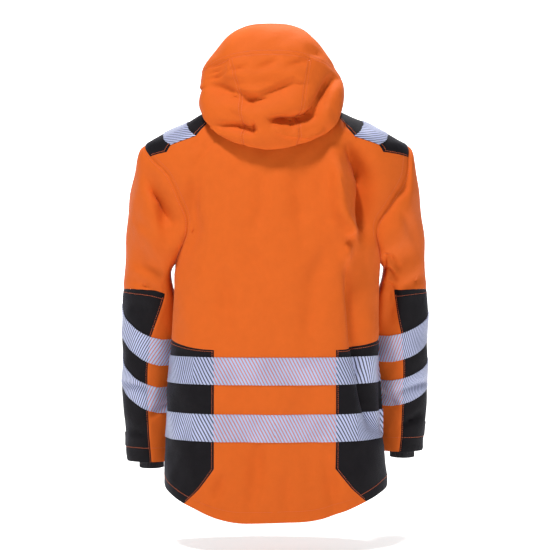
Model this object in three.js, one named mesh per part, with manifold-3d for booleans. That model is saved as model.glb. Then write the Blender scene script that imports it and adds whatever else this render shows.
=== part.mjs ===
// Hooded high-visibility work jacket, filled out as if worn, with nobody in it.
// Millimetres, +Z up. The front of the jacket faces -Y, its back +Y, and the wearer's left is +X.
// The origin lies between the shoulders at the height of the neck, where the wearer carries it.
//
// Every cloth piece is cut from one welded skin: the body, sleeves, collar and hood are grids of
// points on smooth surfaces, whose lines run along the seams. A piece is a set of its cells, pulled
// back half a seam gap at the edges and given a wall towards the inside. What lies on a panel, such
// as tape, takes the same cells and is moved out.

import * as THREE from 'three';
import Module from 'manifold-3d';
import { mergeVertices } from 'three/addons/utils/BufferGeometryUtils.js';

// Driving dimensions
const CLOTH = 1.6;            // wall of the shell cloth
const SEAM_GAP = 0.3;         // between neighbouring pieces
const BRIM_GAP = 0.98;        // wider at the brim seam, which bends sharply over the shoulders
const TAPE_WIDTH = 50;        // reflective tape
const TAPE_WALL = 1;
const TAB_WALL = 1.6;
const KNIT_WALL = 2.2;
const KNIT = { halfX: 24, halfY: 36, hang: 13, leftIn: 7, clear: 0.6, rows: [0, 0.35, 0.7, 1] };
const ZIP_HALF = 12;          // half the width of the open zip strip at the front
const COLLAR_HEIGHT = 58;
const COLLAR_NARROW = 0.92;   // the collar's upper edge is that much narrower than the neck
const COLLAR_LEVEL = 0.5;     // and follows half of the neck seam's drop
const SIDE_SEAM_X = 111;      // upright seam of the black side panels, from the centre line
const SIDE_CORNER_Z = -646;   // where that seam turns out towards the hem
const SIDE_HEM_X = 167;       // and where it meets the hem
const ARMPIT_Z = -272;
const SHOULDER_TIP_Z = -51;
const NECK_X = 80;            // corner of the neck seam, where the shoulder patch begins
const NECK_Z = 25;            // neck seam at the sides and back
const NECK_DROP = 43;         // and how much lower it lies at the front
const CUFF_Z = -655;          // sleeve edge
const CUFF_STITCH = 28;       // hem of the sleeve
const CUFF_TAB_TOP = 55;      // upper edge of the cuff tab, above the sleeve edge
const TAB_COLUMNS = 5;        // columns of the sleeve that the tab covers, on its front
const RIGHT_SLEEVE_REACH = 0.969;   // the right sleeve hangs a little shorter
const BODY_SQUARE = 2.4;      // exponent of the body's rounded sections

const ORANGE = 0xe8682a;
const BLACK = 0x232126;
const SILVER = 0xa9b4cc;
const KNIT_BLACK = 0x17161a;
const METAL = 0x6d7077;

const LEFT = 1;
const RIGHT = -1;
const SIDES = [{ side: LEFT, name: 'left' }, { side: RIGHT, name: 'right' }];
const DEGREE = Math.PI / 180;
const { Vector3 } = THREE;

// Half sizes of the body at each height
const BODY_SECTIONS = [
  { z: 25, left: 90, right: 90, back: 80, front: 62 },
  { z: 5, left: 138, right: 134, back: 92, front: 74 },
  { z: -10, left: 168, right: 168, back: 98, front: 82 },
  { z: -30, left: 208, right: 210, back: 104, front: 90 },
  { z: -51, left: 243, right: 247, back: 109, front: 96 },
  { z: -80, left: 247, right: 255, back: 115, front: 103 },
  { z: -115, left: 233, right: 251, back: 120, front: 108 },
  { z: -155, left: 210, right: 234, back: 124, front: 112 },
  { z: -200, left: 192, right: 211, back: 127, front: 115 },
  { z: -272, left: 188, right: 198, back: 130, front: 118 },
  { z: -410, left: 194, right: 195, back: 133, front: 122 },
  { z: -545, left: 203, right: 201, back: 137, front: 127 },
  { z: -690, left: 208, right: 211, back: 139, front: 130 },
  { z: -750, left: 210, right: 213, back: 139, front: 131 },
];

// Height of the hem round the body; the angle is 0 at the centre back and 180 at the centre front
const HEM = [
  { angle: 0, left: -742, right: -742 },
  { angle: 14, left: -743, right: -739 },
  { angle: 27, left: -735, right: -729 },
  { angle: 41, left: -720, right: -715 },
  { angle: 51, left: -711, right: -706 },
  { angle: 70, left: -695, right: -693 },
  { angle: 90, left: -686, right: -688 },
  { angle: 130, left: -692, right: -692 },
  { angle: 180, left: -700, right: -700 },
];

// Armhole seam: turn is 0 at the shoulder tip and 180 at the armpit, the columns give the angle
// round the body, from the centre back for the back seams and from the centre front for the front
const ARMHOLE = [
  { turn: 0, backLeft: 90, backRight: 90, front: 90 },
  { turn: 39, backLeft: 67, backRight: 76, front: 72 },
  { turn: 62, backLeft: 54, backRight: 73, front: 64 },
  { turn: 90, backLeft: 56, backRight: 65, front: 60 },
  { turn: 120, backLeft: 62, backRight: 65, front: 64 },
  { turn: 150, backLeft: 76, backRight: 77, front: 77 },
  { turn: 180, backLeft: 90, backRight: 90, front: 90 },
];
const PATCH_TURN = 39;        // the shoulder patch ends this far round the armhole

// Lower edge of the shoulder patch as seen from behind, and the shoulder ridge above each point
const SHOULDER_SEAM = [
  { x: NECK_X, z: NECK_Z, ridge: NECK_Z },
  { x: 127, z: -19, ridge: 8 },
  { x: 145, z: -40, ridge: -6.6 },
  { x: 168, z: -48, ridge: -17.5 },
  { x: 191, z: -56, ridge: -28.4 },
  { x: 199, z: -69, ridge: -40 },
  { x: 230, z: -77, ridge: -51 },
];
const TAPE_FROM_POINT = 2;    // the shoulder tape lies between these points of the seam
const TAPE_TO_POINT = 4;

// Level rows of the body below the armpit: the tapes' edges lie on them
const LOWER_TAPE_Z = -547;
const UPPER_TAPE_Z = -444;
const LEVEL_ROWS = [
  SIDE_CORNER_Z,
  LOWER_TAPE_Z - TAPE_WIDTH,
  LOWER_TAPE_Z - TAPE_WIDTH / 2,
  LOWER_TAPE_Z,
  (LOWER_TAPE_Z + UPPER_TAPE_Z - TAPE_WIDTH) / 2,
  UPPER_TAPE_Z - TAPE_WIDTH,
  UPPER_TAPE_Z - TAPE_WIDTH / 2,
  UPPER_TAPE_Z,
];
const SIDE_TOP_BACK_Z = -431; // upper edge of the side panel at its back and front corners
const SIDE_TOP_MID_Z = -415;  // and at the side of the body
const CHEST_ROWS = 4;         // rows from there to the armpit
const YOKE_ROWS = 7;          // rows from the armpit to the shoulder
const SEAM_COLUMNS = 4;       // columns from the centre line to the side panel's seam
const NECK_COLUMNS = 6;
const PATCH_COLUMNS = 6;
const COLUMNS = NECK_COLUMNS + SHOULDER_SEAM.length - 1;
const FIRST_LEVEL_ROW = 2;
const SIDE_TOP_ROW = FIRST_LEVEL_ROW + LEVEL_ROWS.length;
const ARMPIT_ROW = SIDE_TOP_ROW + CHEST_ROWS;
const TOP_ROW = ARMPIT_ROW + YOKE_ROWS;

// Folds of the back, in x and z as seen from behind; a positive depth is a hollow
const BACK_FOLDS = [
  { x0: -139, z0: -70, x1: -166, z1: -121, depth: 9, width: 20 },
  { x0: -166, z0: -121, x1: -166, z1: -215, depth: 10, width: 20 },
  { x0: -112, z0: -86, x1: -124, z1: -190, depth: -6, width: 22 },
  { x0: -124, z0: -190, x1: -142, z1: -235, depth: -6, width: 20 },
  { x0: -150, z0: -250, x1: -155, z1: -420, depth: 6, width: 20 },
  { x0: -155, z0: -420, x1: -189, z1: -580, depth: 7, width: 22 },
  { x0: 150, z0: -120, x1: 164, z1: -270, depth: 5, width: 24 },
  { x0: 40, z0: -650, x1: 62, z1: -480, depth: 4, width: 30 },
  { x0: -70, z0: -690, x1: -58, z1: -500, depth: 4, width: 32 },
];
const FRONT_FOLDS = [
  { x0: 118, z0: -90, x1: 128, z1: -300, depth: 7, width: 26 },
  { x0: -112, z0: -80, x1: -132, z1: -280, depth: 8, width: 26 },
  { x0: 78, z0: -660, x1: 60, z1: -430, depth: 5, width: 30 },
  { x0: -84, z0: -640, x1: -66, z1: -400, depth: 5, width: 30 },
];

// Sleeve rings: the outer and inner points of each, its middle and its half depth
const SLEEVE_RINGS = [
  { ring: 0, outerX: 243, outerZ: -51, innerX: 188, innerZ: -272, midY: 0, deep: 74 },
  { ring: 1, outerX: 254, outerZ: -62, innerX: 196, innerZ: -285, midY: -3, deep: 76 },
  { ring: 2, outerX: 264, outerZ: -97, innerX: 196, innerZ: -299, midY: -14, deep: 77 },
  { ring: 3, outerX: 274, outerZ: -145, innerX: 192, innerZ: -320, midY: -30, deep: 76 },
  { ring: 4, outerX: 281, outerZ: -195, innerX: 187, innerZ: -344, midY: -46, deep: 73 },
  { ring: 5, outerX: 286, outerZ: -245, innerX: 183, innerZ: -370, midY: -61, deep: 70 },
  { ring: 6, outerX: 290, outerZ: -298, innerX: 181, innerZ: -398, midY: -73, deep: 67 },
  { ring: 7, outerX: 293, outerZ: -350, innerX: 181, innerZ: -427, midY: -83, deep: 64 },
  { ring: 8, outerX: 295, outerZ: -405, innerX: 184, innerZ: -458, midY: -91, deep: 62 },
  { ring: 9, outerX: 295, outerZ: -460, innerX: 190, innerZ: -493, midY: -96, deep: 60 },
  { ring: 10, outerX: 295, outerZ: -515, innerX: 191, innerZ: -530, midY: -102, deep: 57 },
  { ring: 11, outerX: 293, outerZ: -565, innerX: 193, innerZ: -571, midY: -107, deep: 54 },
  { ring: 12, outerX: 291, outerZ: -612, innerX: 196, innerZ: -613, midY: -111, deep: 50 },
  { ring: 13, outerX: 288, outerZ: -655, innerX: 200, innerZ: -655, midY: -115, deep: 46 },
];
const LAST_RING = 13;
const RIGHT_BODY_WIDER = 9;   // the right sleeve's inner line starts that much further out
const WIDER_RINGS = 9;
const BLEND_RINGS = 3;        // over these the sleeve takes over from the armhole's curve
const UPPER_SLEEVE_ROWS = [0, 0.13, 0.27, 0.42, 0.6, 0.8];
const SLEEVE_COLUMNS = 10;    // from the outer line to the inner line, on each side
const PANEL_COLUMN = 6;       // the black outer panel reaches this far
const SLEEVE_TOP_ROW = UPPER_SLEEVE_ROWS.length;
const TAPE_ROWS = [SLEEVE_TOP_ROW + 1, SLEEVE_TOP_ROW + 4];
const TAB_ROW = SLEEVE_TOP_ROW + 7;
const CUFF_ROW = TAB_ROW + 2;
const PANEL_TOP_Z = -322;     // upper edge of the black outer panel
const PANEL_TOP_DROP = 25;    // and how much lower that row lies at the inner line
const TAPE_LOW_TURN = 122;    // the sleeve tapes are lowest this far round, at the back of the arm
const SLEEVE_TAPES = [
  { name: 'upper', leftZ: -375, rightZ: -380, leftSlant: 43, rightSlant: 31 },
  { name: 'lower', leftZ: -470, rightZ: -470, leftSlant: 40, rightSlant: 26 },
];
// Back edge of the black outer panel, as a turn round the sleeve
const PANEL_EDGE = [
  { z: -320, left: 127, right: 109 },
  { z: -345, left: 112, right: 99 },
  { z: -375, left: 100, right: 92 },
  { z: -440, left: 91, right: 88 },
  { z: -580, left: 91, right: 91 },
  { z: -655, left: 99, right: 97 },
];
const SLEEVE_FOLDS = {
  left: [
    { x0: 236, z0: -110, x1: 206, z1: -152, depth: 8, width: 16 },
    { x0: 206, z0: -152, x1: 190, z1: -215, depth: 9, width: 18 },
    { x0: 262, z0: -250, x1: 205, z1: -300, depth: 4, width: 22 },
  ],
  right: [
    { x0: -244, z0: -118, x1: -219, z1: -138, depth: 7, width: 16 },
    { x0: -262, z0: -245, x1: -212, z1: -275, depth: 4, width: 20 },
    { x0: -214, z0: -300, x1: -222, z1: -380, depth: 4, width: 18 },
  ],
};

// Hood hoops, from the face edge over the crown to the fold of the bag and back to the neck seam.
// Each runs from the crown past the panel seam and the side to its low point; angle is where it
// meets the neck seam. The x values are half widths.
const HOOD_HOOPS = [
  { hoop: 0, crownY: 60, crownZ: 170, seamX: 66, seamY: 42, seamZ: 157,
    sideX: 112, sideY: -4, sideZ: 94, lowX: 110, lowY: -56, lowZ: 30, angle: 158 },
  { hoop: 1, crownY: 98, crownZ: 154, seamX: 71, seamY: 84, seamZ: 143,
    sideX: 121, sideY: 26, sideZ: 90, lowX: 118, lowY: -30, lowZ: 32, angle: 144 },
  { hoop: 2, crownY: 123, crownZ: 120, seamX: 74, seamY: 112, seamZ: 112,
    sideX: 127, sideY: 52, sideZ: 82, lowX: 127, lowY: -2, lowZ: 31, angle: 130 },
  { hoop: 3, crownY: 141, crownZ: 78, seamX: 68, seamY: 132, seamZ: 74,
    sideX: 129, sideY: 76, sideZ: 64, lowX: 133, lowY: 22, lowZ: 16, angle: 116 },
  { hoop: 4, crownY: 150, crownZ: 34, seamX: 62, seamY: 142, seamZ: 32,
    sideX: 127, sideY: 97, sideZ: 38, lowX: 134, lowY: 50, lowZ: 10, angle: 98 },
  { hoop: 5, crownY: 152, crownZ: -10, seamX: 56, seamY: 145, seamZ: -10,
    sideX: 119, sideY: 112, sideZ: 8, lowX: 131, lowY: 76, lowZ: 1, angle: 80 },
  { hoop: 6, crownY: 147, crownZ: -48, seamX: 52, seamY: 139, seamZ: -42,
    sideX: 105, sideY: 119, sideZ: -24, lowX: 122, lowY: 97, lowZ: -13, angle: 66 },
  { hoop: 7, crownY: 131, crownZ: -70, seamX: 48, seamY: 127, seamZ: -60,
    sideX: 84, sideY: 117, sideZ: -45, lowX: 102, lowY: 106, lowZ: -28, angle: 56 },
  { hoop: 8, crownY: 112, crownZ: -28, seamX: 46, seamY: 109, seamZ: -26,
    sideX: 74, sideY: 104, sideZ: -17, lowX: 86, lowY: 97, lowZ: -7, angle: 50 },
];
const LAST_HOOP = 9;          // the seam along the back of the neck
const NAPE_ANGLE = 46;        // its half angle
const SEAM_AT = 0.33;         // places of the hoop points between crown and neck
const SIDE_AT = 0.62;
const LOW_AT = 0.85;
const HOOD_SHIFT = 8.5;       // the hood leans over to the left
const HOOD_ROWS = [0, 1, 2, 2.7, 3.3, 4, 4.6, 5.2, 5.8, 6.4, 7, 7.6, 8.2, 9];
const BRIM_ROWS = 2;
const HOOD_SEAM_COLUMNS = 4;
const HOOD_SIDE_COLUMNS = 8;
const HOOD_BELOW_NECK = 5;    // the hood is sewn on just below the collar
const HOOD_ABOVE_CLOTH = 0.9;
const HOOD_SIDE_RISE = 2;     // and that much higher still on the shoulders
const HOOD_CLEAR = 8;         // least height of the rest of the hood over the shoulders
const HOOD_LIFT_STEP = 0.5;
const HOOD_CORE_Z = 40;       // the hood's folds point away from here
const FIRST_FOLD_HOOP = 1;
const LAST_FOLD_HOOP = 7;
const HOOD_FOLDS = [
  { x0: 130, z0: 62, x1: 66, z1: 46, depth: 12, width: 15 },
  { x0: 66, z0: 46, x1: -30, z1: 54, depth: 7, width: 13 },
  { x0: -112, z0: 74, x1: -70, z1: 0, depth: 7, width: 15 },
  { x0: 8, z0: -24, x1: -68, z1: -10, depth: 8, width: 14 },
  { x0: 100, z0: -16, x1: 42, z1: -30, depth: 7, width: 14 },
];

// Zip slider with its pull, and the hood's drawcords
const SLIDER_Z = 22;
const SLIDER = { width: 9, height: 14, deep: 4, clear: 0.4 };
const BRIDGE = { width: 3, height: 11, deep: 4.4, bar: 1.4 };
const PULL = { width: 8, length: 30, wall: 1.4, bar: 1.5, hole: 4.6, holeLength: 7 };
const CORD_RADIUS = 1.4;
const CORD_SIDES = 8;
const CORD_STEPS = 14;
const LATHE_SIDES = 12;
// Route of a cord: how far out along the eyelet, how far out level, and how far below the eyelet
const CORD_ROUTE = [
  { out: 0, level: 0, below: 0 },
  { out: 4.5, level: 0, below: 0 },
  { out: 0, level: 8.55, below: 2 },
  { out: 0, level: 9, below: 8 },
  { out: 0, level: 9, below: 13 },
  { out: 0, level: 9, below: 18 },
  { out: 0, level: 9, below: 24 },
];
const LOCK = { radius: 3.2, bore: 1.75, length: 8.4, below: 14 };
const CORD_END = { radius: 2.6, length: 8 };
const EYELET = { radius: 4.6, bore: 2.2, thick: 0.8, x: 112, z: 58 };

const clamp = (value, low, high) => Math.min(Math.max(value, low), high);
const mix = (a, b, t) => a + (b - a) * t;
const smoothstep = (t) => t * t * (3 - 2 * t);
const signedPower = (value, power) => Math.sign(value) * Math.abs(value) ** power;

// Smooth curve through one column of a table, as a function of its key column
function curve(rows, key, column) {
  const sorted = [...rows].sort((a, b) => a[key] - b[key]);
  const at = sorted.map((row) => row[key]);
  const value = sorted.map((row) => row[column]);
  const slope = value.map((_, i) => {
    const before = Math.max(i - 1, 0);
    const after = Math.min(i + 1, value.length - 1);
    return (value[after] - value[before]) / (at[after] - at[before]);
  });
  return (t) => {
    let i = 0;
    while (i < at.length - 2 && t > at[i + 1]) i += 1;
    const span = at[i + 1] - at[i];
    const s = clamp((t - at[i]) / span, 0, 1);
    const rise = smoothstep(s);
    const leave = s * (1 - s) ** 2 * span * slope[i];
    const arrive = s * s * (s - 1) * span * slope[i + 1];
    return mix(value[i], value[i + 1], rise) + leave + arrive;
  };
}

const FOLD_STEP = 0.5;        // step for a surface's own direction
const FOLD_FADE = 0.5;        // share of a fold's depth that is left at its ends

// Depth of the folds at a point seen from the front or back
function foldDepth(folds, x, z) {
  let depth = 0;
  for (const fold of folds) {
    const dx = fold.x1 - fold.x0;
    const dz = fold.z1 - fold.z0;
    const t = clamp(((x - fold.x0) * dx + (z - fold.z0) * dz) / (dx * dx + dz * dz), 0, 1);
    const off = Math.hypot(x - fold.x0 - t * dx, z - fold.z0 - t * dz);
    const fade = FOLD_FADE + 2 * t * (1 - t);
    depth += fold.depth * fade * Math.exp(-((off / fold.width) ** 2));
  }
  return depth;
}

// A point of a surface with its folds pressed in along the surface's own direction
function folded(surface, u, v, step, folds) {
  const point = surface(u, v);
  const across = surface(u + step, v).sub(surface(u - step, v));
  const along = surface(u, v + step).sub(surface(u, v - step));
  const out = new Vector3().crossVectors(across, along).normalize();
  return { point, out, depth: foldDepth(folds, point.x, point.z) };
}

const body = {
  left: curve(BODY_SECTIONS, 'z', 'left'),
  right: curve(BODY_SECTIONS, 'z', 'right'),
  back: curve(BODY_SECTIONS, 'z', 'back'),
  front: curve(BODY_SECTIONS, 'z', 'front'),
};

// The body's plain surface; the angle is 0 at the centre back, positive on the wearer's left
function plainBody(angle, z) {
  const across = Math.sin(angle * DEGREE);
  const deep = Math.cos(angle * DEGREE);
  const halfWidth = across >= 0 ? body.left(z) : body.right(z);
  const halfDepth = deep >= 0 ? body.back(z) : body.front(z);
  const power = 2 / BODY_SQUARE;
  return new Vector3(
    halfWidth * signedPower(across, power),
    halfDepth * signedPower(deep, power),
    z,
  );
}

function bodySurface(angle, z) {
  const { point, out, depth } = folded(
    plainBody, angle, z, FOLD_STEP,
    Math.cos(angle * DEGREE) >= 0 ? BACK_FOLDS : FRONT_FOLDS,
  );
  if (out.dot(new Vector3(point.x, point.y, 0)) < 0) out.negate();
  return point.addScaledVector(out, -depth);
}

// Angle at which the body's surface has this x at this height
function angleAt(side, x, z) {
  const halfWidth = side > 0 ? body.left(z) : body.right(z);
  return Math.asin(clamp(x / halfWidth, 0, 1) ** (BODY_SQUARE / 2)) / DEGREE;
}

const hemLeft = curve(HEM, 'angle', 'left');
const hemRight = curve(HEM, 'angle', 'right');
const hemAt = (side, angle) => (side > 0 ? hemLeft(angle) : hemRight(angle));

const armholeBack = {
  [LEFT]: curve(ARMHOLE, 'turn', 'backLeft'),
  [RIGHT]: curve(ARMHOLE, 'turn', 'backRight'),
};
const armholeFront = curve(ARMHOLE, 'turn', 'front');

// Angle and height of the armhole seam; a positive turn runs down the back, a negative one the front
function armhole(side, turn) {
  const round = Math.abs(turn);
  const z = mix(SHOULDER_TIP_Z, ARMPIT_Z, (1 - Math.cos(round * DEGREE)) / 2);
  const angle = turn >= 0 ? armholeBack[side](round) : 180 - armholeFront(round);
  return { angle, z };
}

// Angle and height of the neck seam, level at the back and sides and dropping at the front
function neckSeat(side, angle) {
  const corner = angleAt(side, NECK_X, NECK_Z);
  if (angle <= 180 - corner) return { angle, z: NECK_Z };
  const round = ((180 - angle) / corner) * 90 * DEGREE;
  const z = NECK_Z - NECK_DROP * Math.cos(round);
  return { angle: 180 - angleAt(side, NECK_X * Math.sin(round), z), z };
}

// Height of the side panel's upper edge
function sideTop(angle) {
  return mix(SIDE_TOP_BACK_Z, SIDE_TOP_MID_Z, smoothstep(clamp((angle - 30) / 60, 0, 1)));
}

// x of the side panel's seam
function sideSeamX(z, hem) {
  const below = clamp((SIDE_CORNER_Z - z) / (SIDE_CORNER_Z - hem), 0, 1);
  return mix(SIDE_SEAM_X, SIDE_HEM_X, below);
}

// The welded skin

class Skin {
  constructor() {
    this.points = [];
    this.byPlace = new Map();
    this.faces = [];
  }

  vertex(point) {
    const place = [point.x, point.y, point.z].map((value) => Math.round(value * 1000) + 0).join();
    if (!this.byPlace.has(place)) {
      this.byPlace.set(place, this.points.length);
      this.points.push(point);
    }
    return this.byPlace.get(place);
  }

  // Adds the cells of a grid of points. Each cell belongs to the panel that panelOf names, and
  // all of them face away from the core point.
  grid(name, rows, core, panelOf) {
    const index = rows.map((row) => row.map((point) => this.vertex(point)));
    const cells = [];
    let facing = 0;
    for (let row = 0; row + 1 < index.length; row += 1) {
      for (let column = 0; column + 1 < index[row].length; column += 1) {
        const corners = [
          index[row][column], index[row][column + 1],
          index[row + 1][column + 1], index[row + 1][column],
        ];
        const [a, b, c, d] = corners.map((corner) => this.points[corner]);
        const normal = new Vector3().crossVectors(
          new Vector3().subVectors(c, a),
          new Vector3().subVectors(d, b),
        );
        facing += normal.dot(new Vector3().subVectors(a, core));
        cells.push({ row, column, corners });
      }
    }
    for (const { row, column, corners } of cells) {
      const turned = facing >= 0 ? corners : [...corners].reverse();
      const [a, b, c, d] = turned;
      const panel = panelOf(row, column);
      const [pa, pb, pc, pd] = turned.map((corner) => this.points[corner]);
      const split = pa.distanceTo(pc) <= pb.distanceTo(pd)
        ? [[a, b, c], [a, c, d]]
        : [[b, c, d], [b, d, a]];
      for (const corner of split) {
        if (new Set(corner).size === 3) this.faces.push({ corner, panel, grid: name, row, column });
      }
    }
  }

  // Outward direction at each point. The sleeves weigh as much as the body where they meet, so
  // that the armhole seam points between the two.
  findNormals() {
    const sum = (faces) => {
      const normals = this.points.map(() => new Vector3());
      for (const { corner } of faces) {
        const normal = this.faceNormal(corner);
        corner.forEach((i) => normals[i].add(normal));
      }
      return normals.map((normal) => normal.normalize());
    };
    const isArm = ({ grid }) => grid.startsWith('arm');
    const arms = sum(this.faces.filter(isArm));
    const others = sum(this.faces.filter((face) => !isArm(face)));
    this.normals = others.map((normal, i) => normal.add(arms[i]).normalize());
  }

  // Twice the area long
  faceNormal([a, b, c]) {
    const ab = new Vector3().subVectors(this.points[b], this.points[a]);
    const ac = new Vector3().subVectors(this.points[c], this.points[a]);
    return ab.cross(ac);
  }

  // A closed wall over some faces, between two distances from the skin
  wall(faces, low, high, gap = SEAM_GAP) {
    const local = new Map();
    const order = [];
    for (const { corner } of faces) {
      for (const i of corner) {
        if (!local.has(i)) {
          local.set(i, order.length);
          order.push(i);
        }
      }
    }
    const rims = new Map();
    const open = new Map();
    for (const face of faces) {
      face.corner.forEach((from, k) => {
        const to = face.corner[(k + 1) % 3];
        if (!open.delete(`${to} ${from}`)) open.set(`${from} ${to}`, { from, to, face });
      });
    }
    for (const { from, to, face } of open.values()) {
      const edge = new Vector3().subVectors(this.points[to], this.points[from]).normalize();
      const inward = this.faceNormal(face.corner).normalize().cross(edge);
      for (const end of [from, to]) {
        if (!rims.has(end)) rims.set(end, []);
        rims.get(end).push(inward);
      }
    }
    const positions = [];
    for (const distance of [high, low]) {
      for (const i of order) {
        const point = this.points[i].clone().addScaledVector(this.normals[i], distance);
        if (rims.has(i)) {
          const inward = rims.get(i).reduce((sum, v) => sum.add(v), new Vector3()).normalize();
          const lean = Math.max(inward.dot(rims.get(i)[0]), 0.5);
          point.addScaledVector(inward, gap / 2 / lean);
        }
        positions.push(point.x, point.y, point.z);
      }
    }
    const count = order.length;
    const triangles = [];
    for (const { corner } of faces) {
      const [a, b, c] = corner.map((i) => local.get(i));
      triangles.push(a, b, c, a + count, c + count, b + count);
    }
    for (const { from, to } of open.values()) {
      const a = local.get(from);
      const b = local.get(to);
      triangles.push(a, a + count, b, b, a + count, b + count);
    }
    return solid(positions, triangles);
  }
}

function solid(positions, triangles) {
  const geometry = new THREE.BufferGeometry();
  geometry.setAttribute('position', new THREE.Float32BufferAttribute(positions, 3));
  geometry.setIndex(triangles);
  geometry.computeVertexNormals();
  return geometry;
}

// Body grids

// Angles and heights of a body row below the armpit
function lowerRow(side, row) {
  const seamHem = hemAt(side, angleAt(side, SIDE_HEM_X, SIDE_CORNER_Z));
  const points = [];
  for (let column = 0; column <= COLUMNS; column += 1) {
    const even = (90 * column) / COLUMNS;
    if (row > SIDE_TOP_ROW) {
      const z = mix(sideTop(even), ARMPIT_Z, (row - SIDE_TOP_ROW) / CHEST_ROWS);
      points.push({ angle: even, z });
      continue;
    }
    let z = sideTop(even);
    if (row < FIRST_LEVEL_ROW) z = mix(seamHem, SIDE_CORNER_Z, row / FIRST_LEVEL_ROW);
    else if (row < SIDE_TOP_ROW) z = LEVEL_ROWS[row - FIRST_LEVEL_ROW];
    const seam = angleAt(side, sideSeamX(z, seamHem), z);
    const angle = column <= SEAM_COLUMNS
      ? (seam * column) / SEAM_COLUMNS
      : mix(seam, 90, (column - SEAM_COLUMNS) / (COLUMNS - SEAM_COLUMNS));
    points.push({ angle, z: row < FIRST_LEVEL_ROW ? hemRowZ(side, row, angle) : z });
  }
  return points;
}

// Height of a row between the hem and the first level row
function hemRowZ(side, row, angle) {
  return mix(hemAt(side, angle), SIDE_CORNER_Z, row / FIRST_LEVEL_ROW);
}

// Turn of the armhole at a row between the armpit and the shoulder patch
function armholeTurn(row) {
  return mix(180, PATCH_TURN, (row - ARMPIT_ROW) / YOKE_ROWS);
}

// Upper edge of a body half: along the neck seam, then along the shoulder patch
function topEdge(side, face, column) {
  const corner = angleAt(side, NECK_X, NECK_Z);
  if (column <= NECK_COLUMNS) {
    const round = (corner * column) / NECK_COLUMNS;
    const seat = neckSeat(side, face > 0 ? round : 180 - round);
    return { x: Math.abs(plainBody(side * seat.angle, seat.z).x), z: seat.z };
  }
  const { x, z } = SHOULDER_SEAM[column - NECK_COLUMNS];
  return { x, z };
}

// A body half between the armpit row and the shoulder, blended in x and z from its four edges
function yokePoint(side, face, row, column) {
  const u = column / COLUMNS;
  const v = (row - ARMPIT_ROW) / YOKE_ROWS;
  const arm = (r) => {
    const { angle, z } = armhole(side, face * armholeTurn(r));
    return { x: Math.abs(plainBody(side * angle, z).x), z, angle };
  };
  if (column === COLUMNS) return arm(row);
  const top = topEdge(side, face, column);
  const topCentre = topEdge(side, face, 0);
  const corner = arm(TOP_ROW);
  const armpit = arm(ARMPIT_ROW);
  const bottom = { x: Math.abs(plainBody(side * 90 * u, ARMPIT_Z).x), z: ARMPIT_Z };
  const blend = (key, left) => (
    mix(left, arm(row)[key], u) + mix(bottom[key], top[key], v)
    - mix(mix(key === 'x' ? 0 : ARMPIT_Z, armpit[key], u), mix(topCentre[key], corner[key], u), v)
  );
  const x = blend('x', 0);
  const z = blend('z', mix(ARMPIT_Z, topCentre.z, v));
  const angle = angleAt(side, x, z);
  return { angle: face > 0 ? angle : 180 - angle, z };
}

// Rows of a quarter of the body; face is 1 for the back, -1 for the front
function bodyQuarter(side, face) {
  const rows = [];
  for (let row = 0; row <= TOP_ROW; row += 1) {
    const lower = row <= ARMPIT_ROW ? lowerRow(side, row) : null;
    const points = [];
    for (let column = 0; column <= COLUMNS; column += 1) {
      if (!lower) {
        points.push(yokePoint(side, face, row, column));
      } else if (face > 0) {
        points.push(lower[column]);
      } else {
        const angle = 180 - lower[column].angle;
        points.push({ angle, z: row < FIRST_LEVEL_ROW ? hemRowZ(side, row, angle) : lower[column].z });
      }
    }
    if (face < 0) {
      const centreZ = points[0].z;
      const edge = 180 - angleAt(side, ZIP_HALF, centreZ);
      points[0] = { angle: edge, z: centreZ };
      points.unshift({ angle: 180, z: centreZ });
    }
    rows.push(points.map(({ angle, z }) => bodySurface(side * angle, z)));
  }
  return rows;
}

// Rows of a shoulder patch, from the neck to the armhole; columns run over the shoulder
function shoulderPatch(side) {
  const rows = [];
  SHOULDER_SEAM.forEach((seam, k) => {
    const points = [];
    for (let column = 0; column <= PATCH_COLUMNS; column += 1) {
      const over = (2 * column) / PATCH_COLUMNS - 1;
      let place;
      if (k === SHOULDER_SEAM.length - 1) {
        place = armhole(side, -over * PATCH_TURN);
      } else {
        const backAngle = angleAt(side, seam.x, seam.z);
        place = {
          angle: mix(backAngle, 180 - backAngle, column / PATCH_COLUMNS),
          z: mix(seam.ridge, seam.z, over * over),
        };
      }
      points.push(bodySurface(side * place.angle, place.z));
    }
    rows.push(points);
  });
  return rows;
}

// Sleeves

const sleeveCurve = Object.fromEntries(
  ['outerX', 'outerZ', 'innerX', 'innerZ', 'midY', 'deep']
    .map((column) => [column, curve(SLEEVE_RINGS, 'ring', column)]),
);

// A plain sleeve ring; the turn is 0 on the outer line, 90 at the back and 180 on the inner line
function sleeveRing(side, ring, turn) {
  const reach = side > 0 ? 1 : mix(1, RIGHT_SLEEVE_REACH, clamp(ring / LAST_RING, 0, 1));
  const outer = new Vector3(sleeveCurve.outerX(ring), 0, sleeveCurve.outerZ(ring) * reach);
  const wider = side > 0 ? 0 : RIGHT_BODY_WIDER * (1 - smoothstep(clamp(ring / WIDER_RINGS, 0, 1)));
  const inner = new Vector3(sleeveCurve.innerX(ring) + wider, 0, sleeveCurve.innerZ(ring) * reach);
  const middle = new Vector3().addVectors(outer, inner).multiplyScalar(0.5);
  const half = new Vector3().subVectors(outer, middle);
  middle.addScaledVector(half, Math.cos(turn * DEGREE));
  middle.y = sleeveCurve.midY(ring) + sleeveCurve.deep(ring) * Math.sin(turn * DEGREE);
  middle.x *= side;
  return middle;
}

function plainSleeve(side, ring, turn) {
  const point = sleeveRing(side, ring, turn);
  const seam = armhole(side, turn);
  const start = bodySurface(side * seam.angle, seam.z).sub(sleeveRing(side, 0, turn));
  return point.addScaledVector(start, 1 - smoothstep(clamp(ring / BLEND_RINGS, 0, 1)));
}

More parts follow.
